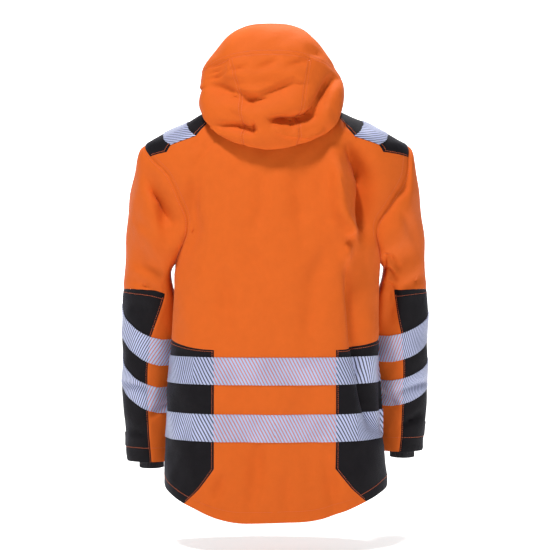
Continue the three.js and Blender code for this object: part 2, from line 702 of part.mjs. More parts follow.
function sleeveSurface(side, ring, turn) {
  const point = plainSleeve(side, ring, turn);
  if (ring === 0) return point;
  const folds = turn >= 0 ? SLEEVE_FOLDS[side > 0 ? 'left' : 'right'] : [];
  const middle = sleeveRing(side, ring, 0).add(sleeveRing(side, ring, 180)).multiplyScalar(0.5);
  const out = new Vector3().subVectors(point, middle).normalize();
  return point.addScaledVector(out, -foldDepth(folds, point.x, point.z) * clamp(ring, 0, 1));
}

// Ring at which the sleeve has this height
function ringAt(side, turn, z) {
  let low = 0;
  let high = LAST_RING;
  for (let pass = 0; pass < 40; pass += 1) {
    const middle = (low + high) / 2;
    if (plainSleeve(side, middle, turn).z > z) low = middle;
    else high = middle;
  }
  return (low + high) / 2;
}

const panelEdge = {
  [LEFT]: curve(PANEL_EDGE, 'z', 'left'),
  [RIGHT]: curve(PANEL_EDGE, 'z', 'right'),
};

// Heights of the sleeve's level rows at one turn
function sleeveLevels(side, turn) {
  const reach = side > 0 ? 1 : RIGHT_SLEEVE_REACH;
  const inside = ((1 - Math.cos(turn * DEGREE)) / 2) ** 4;
  const levels = [PANEL_TOP_Z - PANEL_TOP_DROP * inside];
  for (const tape of SLEEVE_TAPES) {
    const middle = side > 0 ? tape.leftZ : tape.rightZ;
    const slant = side > 0 ? tape.leftSlant : tape.rightSlant;
    const top = middle - slant * Math.cos((turn - TAPE_LOW_TURN) * DEGREE);
    levels.push(top, top - TAPE_WIDTH / 2, top - TAPE_WIDTH);
  }
  const cuff = CUFF_Z * reach;
  return [...levels, cuff + CUFF_TAB_TOP, cuff + CUFF_STITCH];
}

// Turn of a sleeve column in a row: even at the armhole, along the panel's edge further down
function sleeveTurn(side, row, column) {
  const steps = Math.abs(column);
  const patchSteps = PATCH_COLUMNS / 2;
  const yokeSteps = SLEEVE_COLUMNS - patchSteps;
  const even = steps <= patchSteps
    ? (PATCH_TURN * steps) / patchSteps
    : mix(PATCH_TURN, 180, (steps - patchSteps) / yokeSteps);
  const levels = sleeveLevels(side, column > 0 ? 100 : -100);
  const z = row >= CUFF_ROW ? CUFF_Z : levels[clamp(row - SLEEVE_TOP_ROW, 0, levels.length - 1)];
  const edge = column >= 0 ? panelEdge[side](z) : panelEdge[RIGHT](z);
  const along = steps <= PANEL_COLUMN
    ? (edge * steps) / PANEL_COLUMN
    : mix(edge, 180, (steps - PANEL_COLUMN) / (SLEEVE_COLUMNS - PANEL_COLUMN));
  const turn = mix(even, along, clamp(row / SLEEVE_TOP_ROW, 0, 1));
  return column >= 0 ? turn : -turn;
}

function sleeveRows(side) {
  const rows = [];
  for (let row = 0; row <= CUFF_ROW; row += 1) {
    const points = [];
    for (let column = 1 - SLEEVE_COLUMNS; column <= SLEEVE_COLUMNS; column += 1) {
      const turn = sleeveTurn(side, row, column);
      const levels = sleeveLevels(side, turn);
      let ring = LAST_RING;
      if (row < SLEEVE_TOP_ROW) ring = UPPER_SLEEVE_ROWS[row] * ringAt(side, turn, levels[0]);
      else if (row < CUFF_ROW) ring = ringAt(side, turn, levels[row - SLEEVE_TOP_ROW]);
      points.push(sleeveSurface(side, ring, turn));
    }
    rows.push([points[points.length - 1], ...points]);
  }
  return rows;
}

// Collar and hood

// Neck seam from the centre front on the left, round the back, to the centre front on the right
function neckSeam(quarters, patches) {
  const half = (name) => {
    const front = quarters[`front_${name}`][TOP_ROW].slice(0, NECK_COLUMNS + 2);
    const over = patches[name][0].slice().reverse();
    const back = quarters[`back_${name}`][TOP_ROW].slice(0, NECK_COLUMNS + 1).reverse();
    return [...front, ...over.slice(1), ...back.slice(1)];
  };
  return [...half('left'), ...half('right').reverse().slice(1)];
}

function collarRows(seam) {
  return [0, 0.5, 1].map((rise) => seam.map((point) => {
    const narrow = mix(1, COLLAR_NARROW, rise);
    return new Vector3(
      Math.abs(point.x) <= ZIP_HALF + 1 ? point.x : point.x * narrow,
      point.y > 0 ? point.y * narrow : point.y,
      mix(point.z, point.z * COLLAR_LEVEL, rise) + COLLAR_HEIGHT * rise,
    );
  }));
}

const hoodColumns = ['crownY', 'crownZ', 'seamX', 'seamY', 'seamZ', 'sideX', 'sideY', 'sideZ',
  'lowX', 'lowY', 'lowZ', 'angle'];
const hoodCurve = Object.fromEntries(
  hoodColumns.map((column) => [column, curve(HOOD_HOOPS, 'hoop', column)]),
);

// Where the hood is sewn to the neck
function hoodSeat(side, angle) {
  const seat = neckSeat(side, angle);
  const point = bodySurface(side * seat.angle, seat.z - HOOD_BELOW_NECK);
  const out = new Vector3(point.x, point.y, 0).normalize().setZ(1).normalize();
  const sideRise = HOOD_SIDE_RISE * Math.sin(angle * DEGREE);
  return point.addScaledVector(out, HOOD_ABOVE_CLOTH + sideRise);
}

// A hood hoop; across runs from 0 at the crown to 1 at the neck
function hoodHoop(side, hoop, across) {
  const at = Object.fromEntries(hoodColumns.map((column) => [column, hoodCurve[column](hoop)]));
  const seat = hoodSeat(side, at.angle);
  const row = (place, x, y, z) => ({ across: place, x, y, z });
  const half = [
    row(0, 0, at.crownY, at.crownZ),
    row(SEAM_AT, at.seamX, at.seamY, at.seamZ),
    row(SIDE_AT, at.sideX, at.sideY, at.sideZ),
    row(LOW_AT, at.lowX, at.lowY, at.lowZ),
    row(1, Math.abs(seat.x), seat.y, seat.z),
  ];
  const mirror = row(-SEAM_AT, -at.seamX, at.seamY, at.seamZ);
  const rows = [mirror, ...half];
  const shift = HOOD_SHIFT * (1 - clamp((across - SIDE_AT) / (1 - SIDE_AT), 0, 1));
  return new Vector3(
    side * curve(rows, 'across', 'x')(across) + shift,
    curve(rows, 'across', 'y')(across),
    curve(rows, 'across', 'z')(across),
  );
}

function plainHood(hoop, across) {
  const side = across >= 0 ? LEFT : RIGHT;
  const reach = Math.abs(across);
  const lastTable = HOOD_HOOPS[HOOD_HOOPS.length - 1].hoop;
  if (hoop <= lastTable) return hoodHoop(side, hoop, reach);
  const nape = hoodSeat(side, NAPE_ANGLE * reach);
  return hoodHoop(side, lastTable, reach).lerp(nape, (hoop - lastTable) / (LAST_HOOP - lastTable));
}

// Whether a point lies inside the body, which ends at the neck
function insideBody({ x, y, z }) {
  if (z > NECK_Z) return false;
  const halfWidth = x >= 0 ? body.left(z) : body.right(z);
  const halfDepth = y >= 0 ? body.back(z) : body.front(z);
  return Math.abs(x / halfWidth) ** BODY_SQUARE + Math.abs(y / halfDepth) ** BODY_SQUARE < 1;
}

// The hood with its folds, lifted clear of the shoulders where it lies on them
function hoodSurface(hoop, across) {
  const folds = hoop > FIRST_FOLD_HOOP && hoop < LAST_FOLD_HOOP ? HOOD_FOLDS : [];
  const point = plainHood(hoop, across);
  const out = new Vector3(point.x, point.y, point.z - HOOD_CORE_Z).normalize();
  point.addScaledVector(out, -foldDepth(folds, point.x, point.z));
  if (Math.abs(across) === 1 || hoop === LAST_HOOP) return point;
  const under = point.clone().setZ(point.z - HOOD_CLEAR);
  while (insideBody(under)) under.z += HOOD_LIFT_STEP;
  return under.setZ(under.z + HOOD_CLEAR);
}

function hoodRows() {
  return HOOD_ROWS.map((hoop) => {
    const points = [];
    const half = HOOD_SEAM_COLUMNS + HOOD_SIDE_COLUMNS;
    for (let k = -half; k <= half; k += 1) {
      const steps = Math.abs(k);
      const across = steps <= HOOD_SEAM_COLUMNS
        ? (SEAM_AT * steps) / HOOD_SEAM_COLUMNS
        : mix(SEAM_AT, 1, (steps - HOOD_SEAM_COLUMNS) / HOOD_SIDE_COLUMNS);
      points.push(hoodSurface(hoop, Math.sign(k) * across));
    }
    return points;
  });
}

// All the cloth as one skin

const skin = new Skin();
const quarters = {};
const patches = {};
const sleeves = {};
for (const { side, name } of SIDES) {
  quarters[`back_${name}`] = bodyQuarter(side, 1);
  quarters[`front_${name}`] = bodyQuarter(side, -1);
  patches[name] = shoulderPatch(side);
  sleeves[name] = sleeveRows(side);

  const bodyCore = new Vector3(0, 0, ARMPIT_Z);
  skin.grid(`back_${name}`, quarters[`back_${name}`], bodyCore, (row, column) => (
    row < SIDE_TOP_ROW && column >= SEAM_COLUMNS ? `side_panel_${name}` : 'back_panel'
  ));
  skin.grid(`front_${name}`, quarters[`front_${name}`], bodyCore, (row, column) => {
    if (column === 0) return `zip_tape_${name}`;
    return row < SIDE_TOP_ROW && column > SEAM_COLUMNS ? `side_panel_${name}` : `front_${name}`;
  });
  const shoulderCore = new Vector3(side * SIDE_SEAM_X, 0, ARMPIT_Z);
  skin.grid(`patch_${name}`, patches[name], shoulderCore, () => `shoulder_patch_${name}`);
  const half = LAST_RING / 2;
  const armCore = sleeveRing(side, half, 0).add(sleeveRing(side, half, 180)).multiplyScalar(0.5);
  skin.grid(`arm_${name}`, sleeves[name], armCore, (row, column) => {
    const outer = row >= SLEEVE_TOP_ROW && Math.abs(column + 0.5 - SLEEVE_COLUMNS) < PANEL_COLUMN;
    return outer ? `sleeve_outer_${name}` : `sleeve_${name}`;
  });
}
const neck = neckSeam(quarters, patches);
skin.grid('collar', collarRows(neck), new Vector3(0, 0, NECK_Z), (row, column) => {
  if (column === 0) return 'zip_tape_left';
  return column === neck.length - 2 ? 'zip_tape_right' : 'collar';
});
const hoodCore = new Vector3(0, 0, HOOD_CORE_Z);
skin.grid('hood', hoodRows(), hoodCore, (row, column) => {
  if (row < BRIM_ROWS) return 'hood_brim';
  const steps = column + 0.5 - HOOD_SEAM_COLUMNS - HOOD_SIDE_COLUMNS;
  if (Math.abs(steps) < HOOD_SEAM_COLUMNS) return 'hood_centre';
  return steps > 0 ? 'hood_side_left' : 'hood_side_right';
});
skin.findNormals();

// The jacket's pieces

const jacket = new THREE.Group();

function add(name, geometry, colour, roughness, metalness = 0) {
  const material = new THREE.MeshStandardMaterial({ color: colour, roughness, metalness });
  const mesh = new THREE.Mesh(geometry, material);
  mesh.name = name;
  jacket.add(mesh);
  return mesh;
}

function addPanel(name, colour, gap = SEAM_GAP) {
  const faces = skin.faces.filter((face) => face.panel === name);
  add(name, skin.wall(faces, -CLOTH, 0, gap), colour, 0.8);
}

// A strip on top of some cells of the skin
function addStrip(name, chosen, thick, colour, roughness) {
  const faces = skin.faces.filter(chosen);
  add(name, skin.wall(faces, SEAM_GAP, SEAM_GAP + thick), colour, roughness);
}

addPanel('back_panel', ORANGE);
for (const { name } of SIDES) {
  addPanel(`front_${name}`, ORANGE);
  addPanel(`side_panel_${name}`, BLACK);
  addPanel(`shoulder_patch_${name}`, BLACK);
  addPanel(`sleeve_${name}`, ORANGE);
  addPanel(`sleeve_outer_${name}`, BLACK);
  addPanel(`zip_tape_${name}`, KNIT_BLACK);
}
addPanel('collar', ORANGE);
addPanel('hood_brim', ORANGE, BRIM_GAP);
addPanel('hood_centre', ORANGE);
addPanel('hood_side_left', ORANGE);
addPanel('hood_side_right', ORANGE);

// Reflective tapes
const lowerTapeRow = FIRST_LEVEL_ROW + LEVEL_ROWS.indexOf(LOWER_TAPE_Z - TAPE_WIDTH);
const upperTapeRow = FIRST_LEVEL_ROW + LEVEL_ROWS.indexOf(UPPER_TAPE_Z - TAPE_WIDTH);
for (const [name, first] of [['body_tape_lower', lowerTapeRow], ['body_tape_upper', upperTapeRow]]) {
  addStrip(name, ({ grid, row, panel }) => (
    /^(back|front)_/.test(grid) && row >= first && row < first + 2 && !panel.startsWith('zip')
  ), TAPE_WALL, SILVER, 0.35);
}
for (const { name } of SIDES) {
  SLEEVE_TAPES.forEach((tape, i) => {
    addStrip(`sleeve_tape_${tape.name}_${name}`, ({ grid, row }) => (
      grid === `arm_${name}` && row >= TAPE_ROWS[i] && row < TAPE_ROWS[i] + 2
    ), TAPE_WALL, SILVER, 0.35);
  });
  addStrip(`shoulder_tape_${name}`, ({ grid, row }) => (
    grid === `patch_${name}` && row >= TAPE_FROM_POINT && row < TAPE_TO_POINT
  ), TAPE_WALL, SILVER, 0.35);
}

// Cuff tabs, on the front of each sleeve, and knit inner cuffs
for (const { name } of SIDES) {
  addStrip(`cuff_tab_${name}`, ({ grid, row, column }) => (
    grid === `arm_${name}` && row === TAB_ROW
    && column < SLEEVE_COLUMNS && column >= SLEEVE_COLUMNS - TAB_COLUMNS
  ), TAB_WALL, BLACK, 0.7);
}

function knitCuff(side, name) {
  const top = sleeves[name][CUFF_ROW - 1];
  const edge = sleeves[name][CUFF_ROW].slice(1);
  const centre = edge.reduce((sum, point) => sum.add(point), new Vector3())
    .multiplyScalar(1 / edge.length);
  centre.x -= side > 0 ? KNIT.leftIn : 0;
  const slope = KNIT.rows[KNIT.rows.length - 2];
  const rows = KNIT.rows.map((down) => top.map((point, i) => {
    const turn = sleeveTurn(side, CUFF_ROW, i - SLEEVE_COLUMNS) * DEGREE;
    const out = skin.normals[skin.vertex(point)];
    const start = point.clone().addScaledVector(out, -CLOTH - KNIT.clear);
    const end = new Vector3(
      centre.x + side * KNIT.halfX * Math.cos(turn),
      centre.y + KNIT.halfY * Math.sin(turn),
      centre.z - KNIT.hang,
    );
    const narrow = Math.sin((Math.min(down / slope, 1) * Math.PI) / 2);
    const place = new Vector3().lerpVectors(start, end, narrow);
    return place.setZ(mix(start.z, end.z, down));
  }));
  for (const row of rows) row[0] = row[row.length - 1];
  const knit = new Skin();
  knit.grid('knit', rows, centre, () => 'knit');
  knit.findNormals();
  add(`knit_cuff_${name}`, knit.wall(knit.faces, -KNIT_WALL, 0), KNIT_BLACK, 0.95);
}
SIDES.forEach(({ side, name }) => knitCuff(side, name));

// Zip slider at the top of the zip, with a bridge for its pull tab
function rectangle(shape, width, low, high) {
  shape.moveTo(-width / 2, low);
  shape.lineTo(width / 2, low);
  shape.lineTo(width / 2, high);
  shape.lineTo(-width / 2, high);
  shape.closePath();
  return shape;
}

// Two closed shapes joined into one
const wasm = await Module();
wasm.setup();

function manifoldOf(geometry) {
  const bare = geometry.index ? geometry.toNonIndexed() : geometry.clone();
  bare.deleteAttribute('normal');
  bare.deleteAttribute('uv');
  const merged = mergeVertices(bare, 1e-4);
  return new wasm.Manifold(new wasm.Mesh({
    numProp: 3,
    vertProperties: merged.attributes.position.array,
    triVerts: new Uint32Array(merged.index.array),
  }));
}

function joined(first, second) {
  const mesh = manifoldOf(first).add(manifoldOf(second)).getMesh();
  return solid(Array.from(mesh.vertProperties), Array.from(mesh.triVerts));
}

// Front face of the zip strip at the slider's height
function zipFace(z) {
  const heights = [z - SLIDER.height / 2, z, z + SLIDER.height / 2];
  const spots = skin.faces.filter(({ panel }) => panel.startsWith('zip_tape'))
    .flatMap(({ corner }) => corner.map((i) => skin.points[i]))
    .filter((point) => heights.some((height) => Math.abs(point.z - height) < COLLAR_HEIGHT / 2));
  return Math.min(...spots.map((point) => point.y));
}

const seatY = zipFace(SLIDER_Z) - SLIDER.clear;
const faceY = seatY - SLIDER.deep;
const armY = faceY - BRIDGE.deep;
const profile = new THREE.Shape();
profile.moveTo(seatY, -SLIDER.height / 2);
profile.lineTo(seatY, SLIDER.height / 2);
profile.lineTo(faceY, SLIDER.height / 2);
profile.lineTo(faceY, BRIDGE.height / 2);
profile.lineTo(armY, BRIDGE.height / 2);
profile.lineTo(armY, -BRIDGE.height / 2);
profile.lineTo(faceY, -BRIDGE.height / 2);
profile.lineTo(faceY, -SLIDER.height / 2);
profile.closePath();
const eye = new THREE.Path();
const eyeHalf = BRIDGE.height / 2 - BRIDGE.bar;
eye.moveTo(faceY, -eyeHalf);
eye.lineTo(faceY, eyeHalf);
eye.lineTo(armY + BRIDGE.bar, eyeHalf);
eye.lineTo(armY + BRIDGE.bar, -eyeHalf);
eye.closePath();
profile.holes.push(eye);
const sliderShape = new THREE.ExtrudeGeometry(profile, { depth: BRIDGE.width, bevelEnabled: false });
sliderShape.translate(0, 0, -BRIDGE.width / 2);
// the profile's first axis is y and its second z, and it is extruded along x
sliderShape.applyMatrix4(new THREE.Matrix4().makeBasis(
  new Vector3(0, 1, 0), new Vector3(0, 0, 1), new Vector3(1, 0, 0),
));

const sliderBody = new THREE.BoxGeometry(SLIDER.width, SLIDER.deep, SLIDER.height);
sliderBody.translate(0, (seatY + faceY) / 2, 0);
add('zip_slider', joined(sliderBody, sliderShape), METAL, 0.4, 0.8).position.z = SLIDER_Z;

// The pull tab hangs from the bridge on its upper bar
const pullShape = rectangle(new THREE.Shape(), PULL.width, -PULL.length, PULL.bar / 2);
pullShape.holes.push(rectangle(new THREE.Path(), PULL.hole, -PULL.holeLength, -PULL.bar / 2));
const pull = new THREE.ExtrudeGeometry(pullShape, { depth: PULL.wall, bevelEnabled: false });
pull.translate(0, 0, -PULL.wall / 2);
pull.rotateX(Math.PI / 2);
const pullMesh = add('zip_pull', pull, METAL, 0.4, 0.8);
pullMesh.position.set(0, (faceY + armY + BRIDGE.bar) / 2, SLIDER_Z);

// Drawcords of the hood: an eyelet on the brim, a short cord, a cord lock and a cord end

// Middle and direction of the brim's facet nearest to a place seen from behind
function brimSeat(x, z) {
  let best = null;
  for (const { corner, panel, row } of skin.faces) {
    if (panel !== 'hood_brim' || row !== 0) continue;
    const [a, b, c] = corner.map((i) => skin.points[i]);
    const [la, lb, lc] = [b.distanceTo(c), c.distanceTo(a), a.distanceTo(b)];
    const centre = a.clone().multiplyScalar(la).addScaledVector(b, lb).addScaledVector(c, lc)
      .multiplyScalar(1 / (la + lb + lc));
    const off = Math.hypot(centre.x - x, centre.z - z);
    if (!best || off < best.off) best = { off, centre, out: skin.faceNormal(corner).normalize() };
  }
  return best;
}

// A tube along y
function ring(bore, radius, length) {
  return new THREE.LatheGeometry([
    new THREE.Vector2(bore, 0),
    new THREE.Vector2(radius, 0),
    new THREE.Vector2(radius, length),
    new THREE.Vector2(bore, length),
    new THREE.Vector2(bore, 0),
  ], LATHE_SIDES);
}

for (const { side, name } of SIDES) {
  const seat = brimSeat(side * EYELET.x, EYELET.z);
  const start = seat.centre.clone().addScaledVector(seat.out, SEAM_GAP);
  const eyelet = add(`hood_eyelet_${name}`, ring(EYELET.bore, EYELET.radius, EYELET.thick),
    METAL, 0.4, 0.8);
  eyelet.quaternion.setFromUnitVectors(new Vector3(0, 1, 0), seat.out);
  eyelet.position.copy(start);

  const level = seat.out.clone().setZ(0).normalize();
  const route = CORD_ROUTE.map((place) => {
    const point = start.clone().addScaledVector(seat.out, place.out);
    point.addScaledVector(level, place.level);
    return point.setZ(point.z - place.below);
  });
  const circle = new THREE.Shape();
  circle.absarc(0, 0, CORD_RADIUS, 0, 2 * Math.PI);
  const cord = new THREE.ExtrudeGeometry(circle, {
    extrudePath: new THREE.CatmullRomCurve3(route),
    steps: CORD_STEPS,
    curveSegments: CORD_SIDES / 2,
  });
  add(`hood_cord_${name}`, cord, KNIT_BLACK, 0.9);

  const low = route[route.length - 1];
  const lock = ring(LOCK.bore, LOCK.radius, LOCK.length).rotateX(Math.PI / 2);
  add(`cord_lock_${name}`, lock, BLACK, 0.5)
    .position.copy(low).setZ(start.z - LOCK.below - LOCK.length);
  const cap = new THREE.LatheGeometry([
    new THREE.Vector2(0, -CORD_END.length),
    new THREE.Vector2(CORD_END.radius / 2, -CORD_END.length),
    new THREE.Vector2(CORD_END.radius, -CORD_END.length / 2),
    new THREE.Vector2(CORD_END.radius, 0),
    new THREE.Vector2(0, 0),
  ], LATHE_SIDES).rotateX(Math.PI / 2);
  add(`cord_end_${name}`, cap, BLACK, 0.5).position.copy(low).setZ(low.z - SEAM_GAP);
}

export default jacket;
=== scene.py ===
"""Hooded hi-vis work jacket, filled out as if worn, with nobody in it.

The cloth is one welded skin of grids, in the same sizes as the part's source, finer and with the
creases, seams, stitches and knit that the solids leave out. Sizes are in millimetres until a mesh
is made, which is in metres.
"""
import math

import bpy
import numpy as np
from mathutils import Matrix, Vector, kdtree


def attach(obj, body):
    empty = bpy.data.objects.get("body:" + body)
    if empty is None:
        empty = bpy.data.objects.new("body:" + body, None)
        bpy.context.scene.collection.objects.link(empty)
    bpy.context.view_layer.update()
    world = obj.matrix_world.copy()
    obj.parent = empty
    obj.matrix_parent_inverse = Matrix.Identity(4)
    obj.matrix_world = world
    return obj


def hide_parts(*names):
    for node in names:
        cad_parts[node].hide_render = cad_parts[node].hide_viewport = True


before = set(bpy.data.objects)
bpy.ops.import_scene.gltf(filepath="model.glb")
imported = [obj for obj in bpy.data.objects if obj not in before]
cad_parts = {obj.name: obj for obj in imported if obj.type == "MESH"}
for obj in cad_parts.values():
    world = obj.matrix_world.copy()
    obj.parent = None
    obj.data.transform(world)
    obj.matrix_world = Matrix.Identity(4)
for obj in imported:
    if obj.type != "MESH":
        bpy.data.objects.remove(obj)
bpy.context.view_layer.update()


MM = 0.001
LEFT, RIGHT = 1, -1
SIDES = ((LEFT, "left"), (RIGHT, "right"))

# Camera of the photo: straight behind the jacket, at half its height
CAMERA_AT = (0.0, 3.2, -0.295)
CAMERA_LENS, SENSOR_WIDTH = 111.4, 36
FLOOR_Z = -0.80

camera_data = bpy.data.cameras.new("camera")
camera_data.lens = CAMERA_LENS
camera_data.sensor_width = SENSOR_WIDTH
camera = bpy.data.objects.new("camera", camera_data)
camera.location = CAMERA_AT
camera.rotation_euler = (math.radians(90), 0, math.radians(180))
bpy.context.scene.collection.objects.link(camera)
bpy.context.scene.camera = camera

# Sizes shared with the part's source
CLOTH = 1.6
SEAM_GAP = 0.3
TAPE_WIDTH = 50
TAPE_WALL = 1.0
TAB_WALL = 1.6
KNIT_WALL = 1.6
ZIP_HALF = 12
COLLAR_HEIGHT = 58
COLLAR_NARROW = 0.92      # width at its top edge, of the neck
COLLAR_LEVEL = 0.5        # how much of the neck's slope its top edge keeps
SIDE_SEAM_X = 111
SIDE_CORNER_Z = -646
SIDE_HEM_X = 167
ARMPIT_Z = -272
SHOULDER_TIP_Z = -51
NECK_X = 80
NECK_Z = 25
NECK_DROP = 43
CUFF_Z = -655
CUFF_STITCH = 28
CUFF_TAB_TOP = 55
RIGHT_SLEEVE_REACH = 0.969
BODY_SQUARE = 2.4
REFINE = 6                # cells of the scene's grids to one of the source's

BODY_COLUMNS = ("z", "left", "right", "back", "front")
BODY_SECTIONS = (
    (25, 90, 90, 80, 62), (5, 138, 134, 92, 74), (-10, 168, 168, 98, 82),
    (-30, 208, 210, 104, 90), (-51, 243, 247, 109, 96), (-80, 247, 255, 115, 103),
    (-115, 233, 251, 120, 108), (-155, 210, 234, 124, 112), (-200, 192, 211, 127, 115),
    (-272, 188, 198, 130, 118), (-410, 194, 195, 133, 122), (-545, 203, 201, 137, 127),
    (-690, 208, 211, 139, 130), (-750, 210, 213, 139, 131),
)
HEM_COLUMNS = ("angle", "left", "right")
HEM = (
    (0, -742, -742), (14, -743, -739), (27, -735, -729), (41, -720, -715), (51, -711, -706),
    (70, -695, -693), (90, -686, -688), (130, -692, -692), (180, -700, -700),
)
ARMHOLE_COLUMNS = ("turn", "back_left", "back_right", "front")
ARMHOLE = (
    (0, 90, 90, 90), (39, 67, 76, 72), (62, 54, 73, 64), (90, 56, 65, 60),
    (120, 62, 65, 64), (150, 76, 77, 77), (180, 90, 90, 90),
)
PATCH_TURN = 39
SHOULDER_SEAM = (         # x, z at the seam, z of the ridge between the seams
    (80, 25, 25), (127, -19, 8), (145, -40, -6.6), (168, -48, -17.5), (191, -56, -28.4),
    (199, -69, -40), (230, -77, -51),
)
TAPE_FROM_POINT, TAPE_TO_POINT = 2, 4

LOWER_TAPE_Z, UPPER_TAPE_Z = -547, -444
LEVEL_ROWS = (
    SIDE_CORNER_Z,
    LOWER_TAPE_Z - TAPE_WIDTH, LOWER_TAPE_Z - TAPE_WIDTH / 2, LOWER_TAPE_Z,
    (LOWER_TAPE_Z + UPPER_TAPE_Z - TAPE_WIDTH) / 2,
    UPPER_TAPE_Z - TAPE_WIDTH, UPPER_TAPE_Z - TAPE_WIDTH / 2, UPPER_TAPE_Z,
)
SIDE_TOP_BACK_Z, SIDE_TOP_MID_Z = -431, -415
SIDE_TOP_LEVEL = 30       # the top edge is level up to this angle from the back
CHEST_ROWS = 4
YOKE_ROWS = 7
SEAM_COLUMNS = 4
NECK_COLUMNS = 6
PATCH_COLUMNS = 6
COLUMNS = NECK_COLUMNS + len(SHOULDER_SEAM) - 1
FIRST_LEVEL_ROW = 2
LOWER_TAPE_ROW = FIRST_LEVEL_ROW + 1
UPPER_TAPE_ROW = FIRST_LEVEL_ROW + 5
SIDE_TOP_ROW = FIRST_LEVEL_ROW + len(LEVEL_ROWS)
ARMPIT_ROW = SIDE_TOP_ROW + CHEST_ROWS
TOP_ROW = ARMPIT_ROW + YOKE_ROWS

SLEEVE_RING_COLUMNS = ("ring", "outer_x", "outer_z", "inner_x", "inner_z", "mid_y", "deep")
SLEEVE_RINGS = (
    (0, 243, -51, 188, -272, 0, 74), (1, 254, -62, 196, -285, -3, 76),
    (2, 264, -97, 196, -299, -14, 77), (3, 274, -145, 192, -320, -30, 76),
    (4, 281, -195, 187, -344, -46, 73), (5, 286, -245, 183, -370, -61, 70),
    (6, 290, -298, 181, -398, -73, 67), (7, 293, -350, 181, -427, -83, 64),
    (8, 295, -405, 184, -458, -91, 62), (9, 295, -460, 190, -493, -96, 60),
    (10, 295, -515, 191, -530, -102, 57), (11, 293, -565, 193, -571, -107, 54),
    (12, 291, -612, 196, -613, -111, 50), (13, 288, -655, 200, -655, -115, 46),
)
LAST_RING = 13
RIGHT_BODY_WIDER = 9
WIDER_RINGS = 9
BLEND_RINGS = 3
UPPER_SLEEVE_ROWS = (0, 0.13, 0.27, 0.42, 0.6, 0.8)
SLEEVE_COLUMNS = 10
PANEL_COLUMN = 6
SLEEVE_TOP_ROW = len(UPPER_SLEEVE_ROWS)
TAPE_ROWS = (SLEEVE_TOP_ROW + 1, SLEEVE_TOP_ROW + 4)
TAB_ROW = SLEEVE_TOP_ROW + 7
TAB_COLUMNS = 5
CUFF_ROW = TAB_ROW + 2
PANEL_TOP_Z = -322
PANEL_TOP_DROP = 25
TAPE_LOW_TURN = 122
# Upper and lower sleeve tape: z on the left and right sleeve, slant on the left and right
SLEEVE_TAPES = ((-375, -380, 43, 31), (-470, -470, 40, 26))
PANEL_EDGE_COLUMNS = ("z", "left", "right")
PANEL_EDGE = (
    (-320, 127, 109), (-345, 112, 99), (-375, 100, 92), (-440, 91, 88), (-580, 91, 91),
    (-655, 99, 97),
)

HOOD_COLUMNS = ("hoop", "crown_y", "crown_z", "seam_x", "seam_y", "seam_z", "side_x", "side_y",
                "side_z", "low_x", "low_y", "low_z", "angle")
HOOD_HOOPS = (
    (0, 60, 170, 66, 42, 157, 112, -4, 94, 110, -56, 30, 158),
    (1, 98, 154, 71, 84, 143, 121, 26, 90, 118, -30, 32, 144),
    (2, 123, 120, 74, 112, 112, 127, 52, 82, 127, -2, 31, 130),
    (3, 141, 78, 68, 132, 74, 129, 76, 64, 133, 22, 16, 116),
    (4, 150, 34, 62, 142, 32, 127, 97, 38, 134, 50, 10, 98),
    (5, 152, -10, 56, 145, -10, 119, 112, 8, 131, 76, 1, 80),
    (6, 147, -48, 52, 139, -42, 105, 119, -24, 122, 97, -13, 66),
    (7, 131, -70, 48, 127, -60, 84, 117, -45, 102, 106, -28, 56),
    (8, 112, -28, 46, 109, -26, 74, 104, -17, 86, 97, -7, 50),
)
LAST_HOOP_IN_TABLE = 8
LAST_HOOP = 9
NAPE_ANGLE = 46
SEAM_AT, SIDE_AT, LOW_AT = 0.33, 0.62, 0.85
HOOD_SHIFT = 8.5
HOOD_ROWS = (0, 1.15, 2.35, 2.9, 3.4, 4, 4.6, 5.2, 5.8, 6.4, 7, 7.6, 8.2, 9)
BRIM_ROWS = 2
HOOD_SEAM_COLUMNS = 4
HOOD_SIDE_COLUMNS = 8
HOOD_BELOW_NECK = 5
HOOD_ABOVE_CLOTH = 0.9
HOOD_SIDE_RISE = 2
HOOD_CLEAR = 8
HOOD_RIGHT_INSET = 8      # the right side of the bag lies closer in
INSET_HOOPS = (2, 3.5)
HOOD_CORE_Z = 40
HOOD_EDGE = 0.08          # share of a hoop over which creases fade out at the neck
FOLD_HOOPS = (1, 7)       # hoops between which the bag folds
CREASE_HOOPS = (0.5, 7.4)
BAG_END, CREASE_START = 2, 1.5    # how fast the folds end and the creases start, per hoop
LIFTS, LIFT_STEP = 120, 0.5

